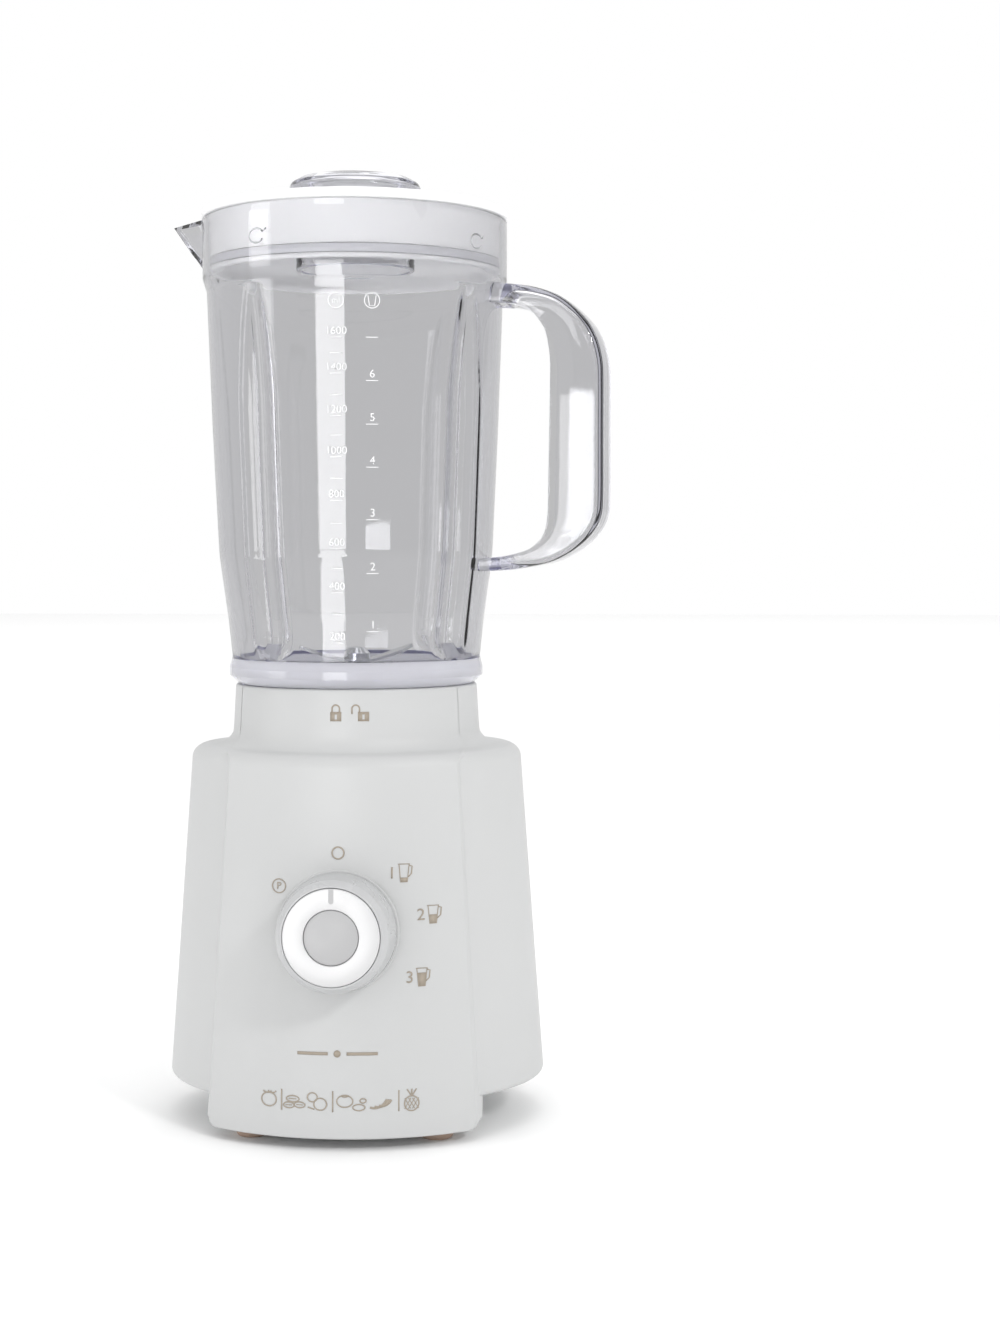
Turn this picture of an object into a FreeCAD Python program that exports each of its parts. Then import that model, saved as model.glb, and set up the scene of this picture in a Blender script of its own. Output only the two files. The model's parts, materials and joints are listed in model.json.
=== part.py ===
"""Countertop blender: motor base, clear jug with blade unit, lid and measuring cap.

Millimetres, +Z up. The origin is on the jug's axis in the plane that the feet stand on.
The front, with the control knob, faces -Y; the jug's handle points towards +X.
"""
import FreeCAD
import Part
import math
import os
import re

import Sketcher

DIMS = {
    # heights above the foot plane
    "apron_bottom": 5,
    "wing_bottom": 18,
    "shoulder_height": 165.5,
    "deck_top": 170,
    "neck_top": 193,
    "jug_floor": 194,
    "rim_top": 398,
    "lid_top": 405.6,
    "cap_top": 417,
    # base housing, half sizes of its oval plan
    "base_half_width": 84.2,
    "base_half_depth": 71.6,
    "shoulder_half_width": 73.5,
    "shoulder_half_depth": 62.5,
    "shell_wall": 2.6,
    "deck_thick": 3.5,
    "shoulder_round": 5,
    "wing_round": 4,
    "lip_inset": 5,
    "lip_thick": 3,
    "apron_proud": 2,
    "apron_half_bottom": 58.9,
    "apron_half_top": 50.2,
    "panel_edge_share": 0.732,
    "neck_foot_radius": 55.5,
    "neck_rim_radius": 53.9,
    "neck_bore": 50.8,
    "neck_fillet": 8,
    # bottom cover, feet and their screws
    "cover_gap": 0.4,
    "cover_thick": 2.5,
    "cover_half_width": 50,
    "boss_bottom": 25,
    "screw_seat": 21,
    "foot_x": 40,
    "foot_y": 48.5,
    "foot_radius": 7,
    "boss_x": 64,
    "boss_y": 26,
    "boss_radius": 5,
    "screw_radius": 1.5,
    "screw_head_radius": 3.5,
    # control knob on the front, along its own tilted axis
    "knob_height": 92,
    "knob_base_radius": 25.2,
    "knob_face_radius": 23.2,
    "knob_depth": 19.3,
    "knob_bevel": 2,
    "ring_radius": 20.2,
    "disc_radius": 11.4,
    "ring_thick": 2.7,
    "spindle_radius": 3,
    "platform_radius": 26,
    # motor
    "shaft_radius": 4,
    "shaft_gap": 0.04,
    "stack_bottom": 80,
    "stack_top": 122,
    "stator_radius": 36,
    "stator_bore": 20.6,
    "yoke_inner": 30,
    "rotor_radius": 19.8,
    "commutator_radius": 11,
    "bracket_top": 149,
    "bracket_thick": 3,
    "bearing_radius": 11,
    "tail_bearing_radius": 8,
    "bolt_circle": 33,
    "fan_radius": 34,
    "damper_radius": 43,
    # coupling between base and jug
    "socket_radius": 15,
    "socket_cavity": 12.5,
    "dog_radius": 11.8,
    "ring_bottom": 170.4,
    "ring_top": 176.4,
    "lock_ring_inner": 44.8,
    "lock_ring_outer": 49.8,
    "post_inner": 39,
    "post_outer": 42.5,
    "hook_outer": 45.4,
    "hook_bottom": 182,
    "hook_top": 185,
    "lug_inner": 43.3,
    "lug_top": 180.5,
    # interlock
    "pin_reach": 47.5,
    "pin_radius": 1.9,
    "pin_top": 172.5,
    # jug
    "jug_wall": 2.8,
    "jug_rim_radius": 67.6,
    "jug_shoulder": 372,
    "jug_upper_radius": 65.8,
    "jug_upper": 366,
    "jug_mid_radius": 63.6,
    "jug_mid": 305,
    "jug_low_radius": 61,
    "jug_low": 250,
    "jug_waist_radius": 57.2,
    "jug_waist": 222,
    "jug_root_radius": 55.5,
    "jug_root": 205,
    "foot_ring_radius": 56.7,
    "foot_ring_top": 200.5,
    "foot_ring_bottom": 197,
    "skirt_radius": 49.3,
    "skirt_wall": 3,
    "skirt_bottom": 177,
    "floor_thick": 3,
    "blade_hole": 11,
    "rib_radius": 8,
    "rib_foot": 56.6,
    "rib_top": 366,
    "handle_reach": 114,
    "handle_width": 25,
    "handle_skin": 3,
    "spout_reach": 85,
    # lid and cap
    "lid_radius": 68,
    "lid_gap": 0.3,
    "skirt_depth": 24,
    "lid_skirt_radius": 64.2,
    "lid_wall": 2.6,
    "gasket_radius": 64.6,
    "lid_hole": 27,
    "cap_tube_radius": 26.3,
    "cap_rim_radius": 30,
    "cap_bottom": 376.5,
    "cap_wall": 2.3,
    # blade unit
    "hub_radius": 10.6,
    "bushing_radius": 6.5,
    "blade_height": 200,
    "blade_thick": 1.5,
    "blade_reach": 28,
    # cord inlet at the back
    "inlet_height": 28,
    "inlet_radius": 3.6,
}

HANDLE_TURN = -10
RIB_TURNS = (-125, -35, 55, 145)
HOOK_TURNS = (30, 150, 270)
LUG_LEAD = 24
HOOK_HALF = 11
LUG_HALF = 10.5
KEY_TURNS = (114, 234, 354)
PIN_TURN = 90
DAMPER_TURNS = (45, 135, 225, 315)

doc = FreeCAD.newDocument("blender")
sheet = doc.addObject("Spreadsheet::Sheet", "Dims")
nodes = {}


def fill_sheet():
    for row, (alias, size) in enumerate(DIMS.items(), start=1):
        sheet.set(f"A{row}", alias)
        sheet.set(f"B{row}", str(size))
        sheet.setAlias(f"B{row}", alias)
    doc.recompute()


def linked(expr):
    """The expression with every alias pointed at the sheet."""
    return re.sub(r"[a-z_]+[a-z]", lambda m: "Dims." + m[0] if m[0] in DIMS else m[0], str(expr))


def value(expr):
    return float(sheet.evalExpression(linked(expr)))


def bind(obj, prop, expr):
    """Drive one property by the sheet, or set it where it is a plain number."""
    if isinstance(expr, (int, float)):
        expr = repr(float(expr))
    obj.setExpression(prop, linked(expr))


def node(label, obj):
    """Register an object as a finished sub-part."""
    obj.Label = label
    nodes[label] = obj
    return obj


def put(obj, x, y, z, turn=0, tilt=(1, 0, 0), lean=0):
    """Lean an object about the tilt axis, then turn it and its place together about +Z."""
    spin = FreeCAD.Rotation(FreeCAD.Vector(0, 0, 1), turn)
    obj.Placement = FreeCAD.Placement(
        FreeCAD.Vector(0, 0, 0), spin.multiply(FreeCAD.Rotation(FreeCAD.Vector(*tilt), lean))
    )
    cos, sin = math.cos(math.radians(turn)), math.sin(math.radians(turn))
    bind(obj, "Placement.Base.x", f"({x}) * {cos:.8f} - ({y}) * {sin:.8f}")
    bind(obj, "Placement.Base.y", f"({x}) * {sin:.8f} + ({y}) * {cos:.8f}")
    bind(obj, "Placement.Base.z", z)
    return obj


def block(xs, ys, zs, turn=0):
    """A box from low to high along each axis, turned about +Z."""
    box = doc.addObject("Part::Box", "block")
    for prop, (low, high) in zip(("Length", "Width", "Height"), (xs, ys, zs)):
        bind(box, prop, f"({high}) - ({low})")
    return put(box, xs[0], ys[0], zs[0], turn)


def rod(radius, low, high, x=0, y=0, turn=0):
    """An upright cylinder."""
    bar = doc.addObject("Part::Cylinder", "rod")
    bind(bar, "Radius", radius)
    bind(bar, "Height", f"({high}) - ({low})")
    return put(bar, x, y, low, turn)


def sector(radius, low, high, middle, half):
    """A slice of an upright cylinder, centred on the angle middle."""
    piece = doc.addObject("Part::Cylinder", "sector")
    bind(piece, "Radius", radius)
    bind(piece, "Height", f"({high}) - ({low})")
    piece.Angle = 2 * half
    return put(piece, 0, 0, low, middle - half)


def fuse(*parts):
    joined = doc.addObject("Part::MultiFuse", "joined")
    joined.Shapes = list(parts)
    joined.Refine = False
    return joined


def cut(base, *tools):
    result = doc.addObject("Part::Cut", "cut")
    result.Base = base
    result.Tool = tools[0] if len(tools) == 1 else fuse(*tools)
    result.Refine = False
    return result


def common(first, second):
    shared = doc.addObject("Part::Common", "common")
    shared.Base = first
    shared.Tool = second
    shared.Refine = False
    return shared


def group(*parts):
    """Separate solids kept together in one node."""
    bundle = doc.addObject("Part::Compound", "group")
    bundle.Links = list(parts)
    return bundle


def rounded(base, radius, wanted):
    """Fillet the edges of a shape that the test picks out."""
    doc.recompute()
    fillet = doc.addObject("Part::Fillet", "rounded")
    fillet.Base = base
    size = value(radius)
    picked = [i for i, edge in enumerate(base.Shape.Edges, start=1) if wanted(edge)]
    if not picked:
        raise ValueError(f"no edge to round on {base.Name}")
    fillet.Edges = [(i, size, size) for i in picked]
    return fillet


def level_edge(height, smallest=0, largest=1000):
    """A test for a closed level edge at a height, by its width."""

    def wanted(edge):
        box = edge.BoundBox
        flat = abs(box.ZMin - height) < 0.01 and box.ZLength < 0.01
        return flat and smallest < box.XLength < largest

    return wanted


def outline(body, role, points, offset=0):
    """A closed sketch on one of the body's own planes, every corner bound to the sheet."""
    sketch = body.newObject("Sketcher::SketchObject", "outline")
    plane = next(item for item in body.Origin.OriginFeatures if item.Role == role)
    sketch.AttachmentSupport = (plane, "")
    sketch.MapMode = "FlatFace"
    bind(sketch, "AttachmentOffset.Base.z", offset)
    seeds = [FreeCAD.Vector(value(across), value(up), 0) for across, up in points]
    count = len(points)
    for i in range(count):
        sketch.addGeometry(Part.LineSegment(seeds[i], seeds[(i + 1) % count]))
    for i in range(count):
        sketch.addConstraint(Sketcher.Constraint("Coincident", i, 2, (i + 1) % count, 1))
    for i, (across, up) in enumerate(points):
        for kind, letter, expr, seed in (
            ("DistanceX", "across", across, seeds[i].x),
            ("DistanceY", "up", up, seeds[i].y),
        ):
            index = sketch.addConstraint(Sketcher.Constraint(kind, -1, 1, i, 1, seed))
            sketch.renameConstraint(index, f"{letter}{i}")
            if isinstance(expr, str):
                sketch.setExpression(f"Constraints.{letter}{i}", linked(expr))
    return sketch


def turned(points):
    """A body of revolution about its own Z axis; points are (radius, height)."""
    body = doc.addObject("PartDesign::Body", "turned")
    sketch = outline(body, "XZ_Plane", points)
    lathe = body.newObject("PartDesign::Revolution", "lathe")
    lathe.Profile = sketch
    lathe.ReferenceAxis = (sketch, ["V_Axis"])
    lathe.Angle = 360
    return body


def padded(role, points, offset, length, both_ways=False):
    """A body padded from an outline on one of its planes."""
    body = doc.addObject("PartDesign::Body", "padded")
    pad = body.newObject("PartDesign::Pad", "pad")
    pad.Profile = outline(body, role, points, offset)
    pad.SideType = "Symmetric" if both_ways else "One side"
    bind(pad, "Length", length)
    return body


def tube(inner, outer, low, high):
    return turned([(inner, low), (outer, low), (outer, high), (inner, high)])


def hexagon(flats, low, high):
    """An upright hexagonal prism, given half its width across flats."""
    corner = f"({flats}) / {math.cos(math.radians(30)):.8f}"
    points = []
    for i in range(6):
        turn = math.radians(60 * i)
        points.append((f"{corner} * {math.cos(turn):.8f}", f"{corner} * {math.sin(turn):.8f}"))
    return padded("XY_Plane", points, low, f"({high}) - ({low})")


def flare(axis, height, grow):
    """Half the housing's width or depth at a height, grown by an offset."""
    return (
        f"shoulder_half_{axis} + (base_half_{axis} - shoulder_half_{axis})"
        f" * (shoulder_height - ({height})) / (shoulder_height - wing_bottom) + ({grow})"
    )


def oval_form(low, high, grow):
    """A slice of the housing's flared oval form between two heights."""
    rings = []
    for height in (low, high):
        ring = doc.addObject("Part::Ellipse", "oval")
        bind(ring, "MajorRadius", flare("width", height, grow))
        bind(ring, "MinorRadius", flare("depth", height, grow))
        rings.append(put(ring, 0, 0, height))
    loft = doc.addObject("Part::Loft", "oval_form")
    loft.Sections = rings
    loft.Solid = True
    loft.Ruled = True
    return loft


def front_lean():
    """How far the housing's front leans back from upright, in degrees."""
    return math.degrees(
        math.atan2(
            value("base_half_depth - shoulder_half_depth"), value("shoulder_height - wing_bottom")
        )
    )


def on_wall(obj, side, height, rise):
    """Stand an object built along +Z on the housing's front (-1) or back (+1), risen off the wall."""
    lean = front_lean()
    out, up = math.cos(math.radians(lean)), math.sin(math.radians(lean))
    face = f"{side} * (({flare('depth', height, 'apron_proud')}) + ({rise}) * {out:.8f})"
    return put(obj, 0, face, f"{height} + ({rise}) * {up:.8f}", lean=side * (lean - 90))


def on_front(obj, rise=0):
    return on_wall(obj, -1, "knob_height", rise)


def on_back(obj, rise=0):
    return on_wall(obj, 1, "inlet_height", rise)


def panel_plan(edge, height):
    """The two panels' plan at a height: sides lean in by the bevel angle towards front and back."""
    depth = 100
    bevel = math.tan(math.radians(25))
    reach = f"({flare('depth', height, 0)}) * panel_edge_share"
    tip = f"{edge} - {bevel:.8f} * ({depth} - {reach})"
    waist = f"{edge} + {bevel:.8f} * {reach}"
    right = [(tip, -depth), (waist, 0), (tip, depth)]
    left = [(f"-({across})", up) for across, up in reversed(right)]
    return right + left


def panel_wedge():
    body = doc.addObject("PartDesign::Body", "panel_wedge")
    low = outline(body, "XY_Plane", panel_plan("apron_half_bottom", "apron_bottom"), "apron_bottom")
    high = outline(body, "XY_Plane", panel_plan("apron_half_top", "shoulder_height"), "shoulder_height")
    wedge = body.newObject("PartDesign::AdditiveLoft", "wedge")
    wedge.Profile = low
    wedge.Sections = [high]
    wedge.Ruled = True
    return body


def housing_top():
    """Wings, panels, shoulder and neck above the wings' lower edge, still solid."""
    wings = oval_form("wing_bottom", "shoulder_height", 0)
    wings = rounded(wings, "wing_round", level_edge(value("wing_bottom")))
    wings = rounded(wings, "shoulder_round", level_edge(value("shoulder_height")))
    panels = oval_form("wing_bottom", "shoulder_height", "apron_proud")
    panels = rounded(panels, "shoulder_round", level_edge(value("shoulder_height")))
    neck = doc.addObject("Part::Cone", "neck")
    bind(neck, "Radius1", "neck_foot_radius")
    bind(neck, "Radius2", "neck_rim_radius")
    bind(neck, "Height", "neck_top - shoulder_height")
    put(neck, 0, 0, "shoulder_height")
    width = 2 * value("neck_foot_radius")
    joined = fuse(wings, common(panels, panel_wedge()), neck)
    foot = level_edge(value("shoulder_height"), width - 1, width + 1)
    form = rounded(joined, "neck_fillet", foot)
    return fuse(form, on_front(short_rod("platform_radius", 9.4), -9))


def panel_ends():
    """The lower ends of the front and back panels, which hang below the wings."""
    top = "wing_bottom + 1.5"
    outer = oval_form("apron_bottom", top, "apron_proud - 0.02")
    inner = oval_form("apron_bottom - 1", f"{top} + 1", "-shell_wall + 0.3")
    ring = cut(outer, inner, block((-90, 90), (-40, 40), (0, 30)))
    corners = [block(xs, (30, 90), (0, "wing_bottom - 0.5")) for xs in ((50, 70), (-70, -50))]
    return cut(common(ring, panel_wedge()), *corners)


def four_places(x, y):
    """The four places that mirror one place about both middle planes."""
    return [(across, along) for across in (x, f"-{x}") for along in (y, f"-{y}")]


def bosses(radius, low, high):
    """Four uprights on the cover screws' places."""
    return [rod(radius, low, high, x, y) for x, y in four_places("boss_x", "boss_y")]


def damper_rods(radius, low, high):
    """Four uprights on the motor mounting's places."""
    return [rod(radius, low, high, "damper_radius", 0, turn) for turn in DAMPER_TURNS]


def short_rod(radius, length):
    """A cylinder from its own origin upwards, still to be placed."""
    bar = doc.addObject("Part::Cylinder", "rod")
    bind(bar, "Radius", radius)
    bind(bar, "Height", length)
    return bar


def bayonet_posts():
    """Three posts on the deck, each with a hook that the jug's lug turns under."""
    parts = []
    for turn in HOOK_TURNS:
        post = sector("post_outer", "deck_top", "hook_top", turn, HOOK_HALF)
        hook = sector("hook_outer", "hook_bottom", "hook_top", turn, HOOK_HALF)
        parts.append(cut(fuse(post, hook), rod("post_inner", "deck_top - 1", "hook_top + 1")))
    return parts


def base_housing():
    ceiling = "shoulder_height - shell_wall"
    under_deck = "deck_top - deck_thick"
    lip_top = "wing_bottom + lip_thick"
    shell = housing_top()
    for hollow in (
        oval_form("wing_bottom - 1", f"{lip_top} + 1", "-lip_inset"),
        oval_form(lip_top, ceiling, "-shell_wall"),
        rod("neck_bore + 0.5", f"{ceiling} - 1", under_deck),
        rod("neck_bore", "deck_top", "neck_top + 1"),
        rod("socket_radius + 2", f"{under_deck} - 1", "deck_top + 1"),
        rod("pin_radius + 0.25", f"{under_deck} - 1", "deck_top + 1", "pin_reach", 0, PIN_TURN),
        on_front(short_rod("spindle_radius + 2", 30), -20),
        on_back(short_rod("inlet_radius + 1.6", 20), -10),
    ):
        shell = cut(shell, hollow)
    ribs = [
        block((x, edge), (y - 1.5, y + 1.5), ("boss_bottom", 45))
        for x, edge in ((64, 74.8), (-74.8, -64))
        for y in (-26, 26)
    ]
    mounts = damper_rods("boss_radius", "bracket_top + bracket_thick", f"{under_deck} + 1")
    cover_bosses = bosses("boss_radius", "boss_bottom", 50)
    walls = shell
    for addition in (*cover_bosses, *ribs, *mounts, *bayonet_posts(), panel_ends()):
        walls = fuse(walls, addition)
    pilots = [
        *bosses("screw_radius + 0.1", "boss_bottom - 1", 42),
        *damper_rods("screw_radius + 0.1", "bracket_top + 1", under_deck + " - 2"),
    ]
    node("base_housing", cut(walls, *pilots))


def cover_middle(low, high, grow, half):
    """A slice of the cover's deeper middle, which lies between the panels' ends."""
    return common(oval_form(low, high, grow), block((f"-({half})", half), (-80, 80), (low, high)))


def bottom_cover():
    """A plate under the wings with a deeper middle that carries the feet."""
    floor = "apron_bottom + cover_thick"
    wing_low = "wing_bottom + 0.2"
    rim = "wing_bottom + 2.4"
    inset = "-(lip_inset + cover_gap)"
    middle = cover_middle("apron_bottom", "wing_bottom + 1", inset, "cover_half_width")
    tray = fuse(oval_form(wing_low, rim, inset), middle)
    inside = cover_middle(floor, f"{rim} + 1", f"{inset} - cover_thick", "cover_half_width - cover_thick")
    slots = [
        block((-24, 24), (y - 1.5, y + 1.5), ("apron_bottom - 1", f"{floor} + 1"))
        for y in range(-28, 29, 8)
    ]
    feet_holes = [
        rod(2.7, "apron_bottom - 1", f"{floor} + 1", x, y) for x, y in four_places("foot_x", "foot_y")
    ]
    holes = [
        *bosses("screw_radius + 0.4", "wing_bottom - 1", "boss_bottom + 1"),
        *bosses("screw_head_radius + 0.3", "wing_bottom - 1", "screw_seat"),
    ]
    shell = fuse(cut(tray, inside, *slots), *bosses("boss_radius", wing_low, "boss_bottom - cover_gap"))
    node("bottom_cover", cut(shell, *holes, *feet_holes))


def feet():
    shape = [
        (0, 0),
        ("foot_radius - 0.7", 0),
        ("foot_radius", 0.8),
        ("foot_radius", "apron_bottom"),
        (2.5, "apron_bottom"),
        (2.5, "apron_bottom + 4"),
        (0, "apron_bottom + 4"),
    ]
    pads = [put(turned(shape), x, y, 0) for x, y in four_places("foot_x", "foot_y")]
    node("rubber_feet", group(*pads))


def screw_shape(length):
    """A pan-head screw, head downwards, with the underside of its head at height 0."""
    return [
        (0, -2.6),
        ("screw_head_radius - 1", -2.6),
        ("screw_head_radius", -1.4),
        ("screw_head_radius", 0),
        ("screw_radius", 0),
        ("screw_radius", length),
        (0, length + 1),
    ]


def cover_screws():
    shape = screw_shape(18)
    screws = [put(turned(shape), x, y, "screw_seat") for x, y in four_places("boss_x", "boss_y")]
    node("cover_screws", group(*screws))


def knob():
    """Hollow turning knob with a pale ring and a grey centre disc let into its face."""
    face = "knob_depth + knob_bevel"
    body = turned([
        (2.95, 3),
        (6, 3),
        (6, 14),
        ("knob_base_radius - 2.6", 14),
        ("knob_base_radius - 2.6", 1),
        ("knob_base_radius", 1),
        ("knob_face_radius", "knob_depth"),
        ("knob_face_radius - knob_bevel", face),
        ("ring_radius + 0.2", face),
        ("ring_radius + 0.2", "knob_depth"),
        (0, "knob_depth"),
        (0, 13),
        (2.95, 13),
    ])
    node("knob_body", on_front(body))
    ring = tube("disc_radius + 0.15", "ring_radius", "knob_depth", "knob_depth + ring_thick")
    notch = block((-1.05, 1.05), (13.5, 22), ("knob_depth + 0.6", "knob_depth + 5"))
    node("knob_ring", on_front(cut(ring, notch)))
    disc = turned([
        (0, "knob_depth"),
        ("disc_radius", "knob_depth"),
        ("disc_radius", "knob_depth + ring_thick - 0.6"),
        (0, "knob_depth + ring_thick - 0.3"),
    ])
    node("knob_disc", on_front(disc))
    spindle = turned([(0, -14), (2.95, -14), (2.95, 12.9), (0, 12.9)])
    node("switch_spindle", on_front(spindle))


def switch():
    """Rotary speed switch behind the front wall, held by a nut on its bushing."""
    bushing = turned([
        (3, -13.8),
        (4.8, -13.8),
        (4.8, -6.1),
        (7, -6.1),
        (7, -4.9),
        (4.8, -4.9),
        (4.8, 2.4),
        (3, 2.4),
    ])
    node("switch_bushing", on_front(bushing))
    body = cut(block((-14, 14), (-12, 12), (-25, -6.1)), rod(4.9, -14, 0))
    terminals = [
        block((x - 0.4, x + 0.4), (y - 2.4, y + 2.4), (-28.5, -25))
        for x in (-9, -3, 3, 9)
        for y in (-6, 6)
    ]
    node("speed_switch", on_front(body))
    node("switch_terminals", on_front(group(*terminals)))
    nut = cut(hexagon(6.2, 0.5, 2.4), rod(4.85, 0, 3))
    node("switch_nut", on_front(nut))


def stator():
    ring = cut(rod("stator_radius", "stack_bottom", "stack_top"), rod("yoke_inner", 70, 130))
    poles = [
        block((-16.5, 16.5), span, ("stack_bottom", "stack_top"))
        for span in (("yoke_inner - 12", "yoke_inner + 1"), ("-(yoke_inner + 1)", "-(yoke_inner - 12)"))
    ]
    bolts = [rod(2, 70, 130, 0, y) for y in ("bolt_circle", "-bolt_circle")]
    node("stator_stack", cut(fuse(ring, *poles), rod("stator_bore", 70, 130), *bolts))


def field_coils():
    """One coil round each pole neck, its ends standing above and below the stack."""
    coils = []
    for side in (-1, 1):
        ys = (20, 31) if side > 0 else (-31, -20)
        loop = cut(
            block((-26, 26), ys, ("stack_bottom - 9", "stack_top + 9")),
            block((-17, 17), (ys[0] - 1, ys[1] + 1), ("stack_bottom - 1.5", "stack_top + 1.5")),
        )
        band = cut(rod("yoke_inner - 0.4", 60, 140), rod("stator_bore + 0.5", 59, 141))
        coils.append(common(loop, band))
    node("field_coils", group(*coils))


def rotor():
    node("motor_shaft", turned([
        (0, 38),
        ("shaft_radius - 0.5", 38),
        ("shaft_radius", 38.5),
        ("shaft_radius", "deck_top + 7"),
        (0, "deck_top + 7"),
    ]))
    node("rotor_stack", tube("shaft_radius", "rotor_radius", "stack_bottom", "stack_top"))
    ends = [
        tube("shaft_radius", "rotor_radius - 2.5", "stack_bottom - 9", "stack_bottom"),
        tube("shaft_radius", "rotor_radius - 2.5", "stack_top", "stack_top + 5"),
    ]
    node("armature_winding", group(*ends))
    node("commutator", tube("shaft_radius", "commutator_radius", "stack_top + 6", "stack_top + 18"))


def cooling_fan():
    top = 52
    hub = tube("shaft_radius", 8, top - 10, top)
    disc = tube("shaft_radius", "fan_radius", top - 1.6, top)
    blades = [
        block((7, "fan_radius - 1"), (-0.8, 0.8), (top - 9, top - 1), turn)
        for turn in range(0, 360, 40)
    ]
    node("cooling_fan", fuse(hub, disc, *blades))


def upper_bracket():
    """Cross-shaped plate on the rubber dampers, with the top bearing's housing and two legs."""
    low, high = "bracket_top - bracket_thick", "bracket_top"
    arms = [
        block(("shaft_radius", "damper_radius + 6"), (-6, 6), (low, high), turn) for turn in DAMPER_TURNS
    ]
    strap = block((-7, 7), ("-(bolt_circle + 5)", "bolt_circle + 5"), (low, high))
    legs = [rod(3.2, "stack_top", high, 0, y) for y in ("bolt_circle", "-bolt_circle")]
    hub = rod("bearing_radius + 3", "bracket_top - 5", "bracket_top + 4")
    bores = [
        rod("bearing_radius", "bracket_top - 3", "bracket_top + 5"),
        rod(6, "bracket_top - 6", "bracket_top"),
        *(rod(2, 100, 160, 0, y) for y in ("bolt_circle", "-bolt_circle")),
        *damper_rods("screw_radius + 0.3", 140, 155),
    ]
    node("upper_bracket", cut(fuse(hub, strap, *arms, *legs), *bores))


def lower_bracket():
    strap = block((-12, 12), ("-(bolt_circle + 5)", "bolt_circle + 5"), (58, 61))
    hub = rod("tail_bearing_radius + 4", 54, 64)
    legs = [rod(3.2, 60, "stack_bottom", 0, y) for y in ("bolt_circle", "-bolt_circle")]
    bores = [
        rod("tail_bearing_radius", 53, 60),
        rod(6, 59, 65),
        *(rod(2, 50, 90, 0, y) for y in ("bolt_circle", "-bolt_circle")),
    ]
    node("lower_bracket", cut(fuse(strap, hub, *legs), *bores))


def bearings():
    bore = "shaft_radius + shaft_gap"
    node("upper_bearing", tube(bore, "bearing_radius", "bracket_top - 3", "bracket_top + 4"))
    node("lower_bearing", tube(bore, "tail_bearing_radius", 54, 60))


def motor_fasteners():
    bolt = [(0, 55), (3.4, 55), (3.4, 58), (1.8, 58), (1.8, 154), (0, 154)]
    node("through_bolts", group(*(put(turned(bolt), 0, y, 0) for y in ("bolt_circle", "-bolt_circle"))))
    under = "bracket_top - bracket_thick"
    screws = [put(turned(screw_shape(12)), "damper_radius", 0, under, turn) for turn in DAMPER_TURNS]
    node("motor_screws", group(*screws))
    rings = [
        put(
            tube("screw_radius + 0.3", "boss_radius", 0, "bracket_thick"),
            "damper_radius",
            0,
            "bracket_top",
            turn,
        )
        for turn in DAMPER_TURNS
    ]
    node("motor_dampers", group(*rings))


def brush_gear():
    """Insulating plate with a brass holder and a carbon brush on each side of the commutator."""
    plate_low, plate_high = 138.6, 141.6
    plate = cut(
        rod(37, plate_low, plate_high),
        rod(13, plate_low - 1, plate_high + 1),
        *(rod(4.3, plate_low - 1, plate_high + 1, 0, y) for y in ("bolt_circle", "-bolt_circle")),
    )
    node("brush_plate", plate)
    holders = []
    brushes = []
    for turn in (0, 180):
        sleeve = block((13, 36), (-5, 5), (129.4, plate_low), turn)
        slot = block((12, 34.5), (-3.2, 3.2), (130.8, 137.2), turn)
        holders.append(cut(sleeve, slot))
        brushes.append(block(("commutator_radius + 0.2", 27), (-3, 3), (131, 137), turn))
    node("brush_holders", group(*holders))
    node("carbon_brushes", group(*brushes))


def capacitor():
    can = block((-13, 13), (26, 37), ("apron_bottom + cover_thick", 25))
    node("suppression_capacitor", can)


def drive_socket():
    low = "deck_top + 3.5"
    cup = turned([
        ("shaft_radius", low),
        ("socket_radius", low),
        ("socket_radius", "hook_top - 0.5"),
        ("socket_cavity", "hook_top - 0.5"),
        ("socket_cavity", "deck_top + 7"),
        ("shaft_radius", "deck_top + 7"),
    ])
    vanes = [
        block((9.2, "socket_cavity + 1"), (-1.5, 1.5), ("deck_top + 6", "hook_top - 0.5"), turn)
        for turn in HOOK_TURNS
    ]
    node("drive_socket", fuse(cup, *vanes))
    node("shaft_slinger", tube("shaft_radius", 12.5, "deck_top + 1", low))


def lock_ring():
    """Loose ring on the deck: the jug keys into it and it turns with the jug, working the interlock."""
    ring = tube("lock_ring_inner", "lock_ring_outer", "ring_bottom", "ring_top")
    keys = [
        cut(
            sector("lock_ring_outer - 0.2", "ring_top - 1", "lug_top", turn, 4.8),
            rod("lock_ring_inner + 1.2", 170, 190),
        )
        for turn in KEY_TURNS
    ]
    cam = padded(
        "XZ_Plane",
        [(-5, 169), (-5, 173.2), (2.1, 173.2), (12.4, "ring_bottom"), (12.4, 169)],
        44,
        7,
    )
    put(cam, 0, 0, 0, PIN_TURN + 90)
    node("jug_lock_ring", cut(fuse(ring, *keys), cam))


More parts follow.
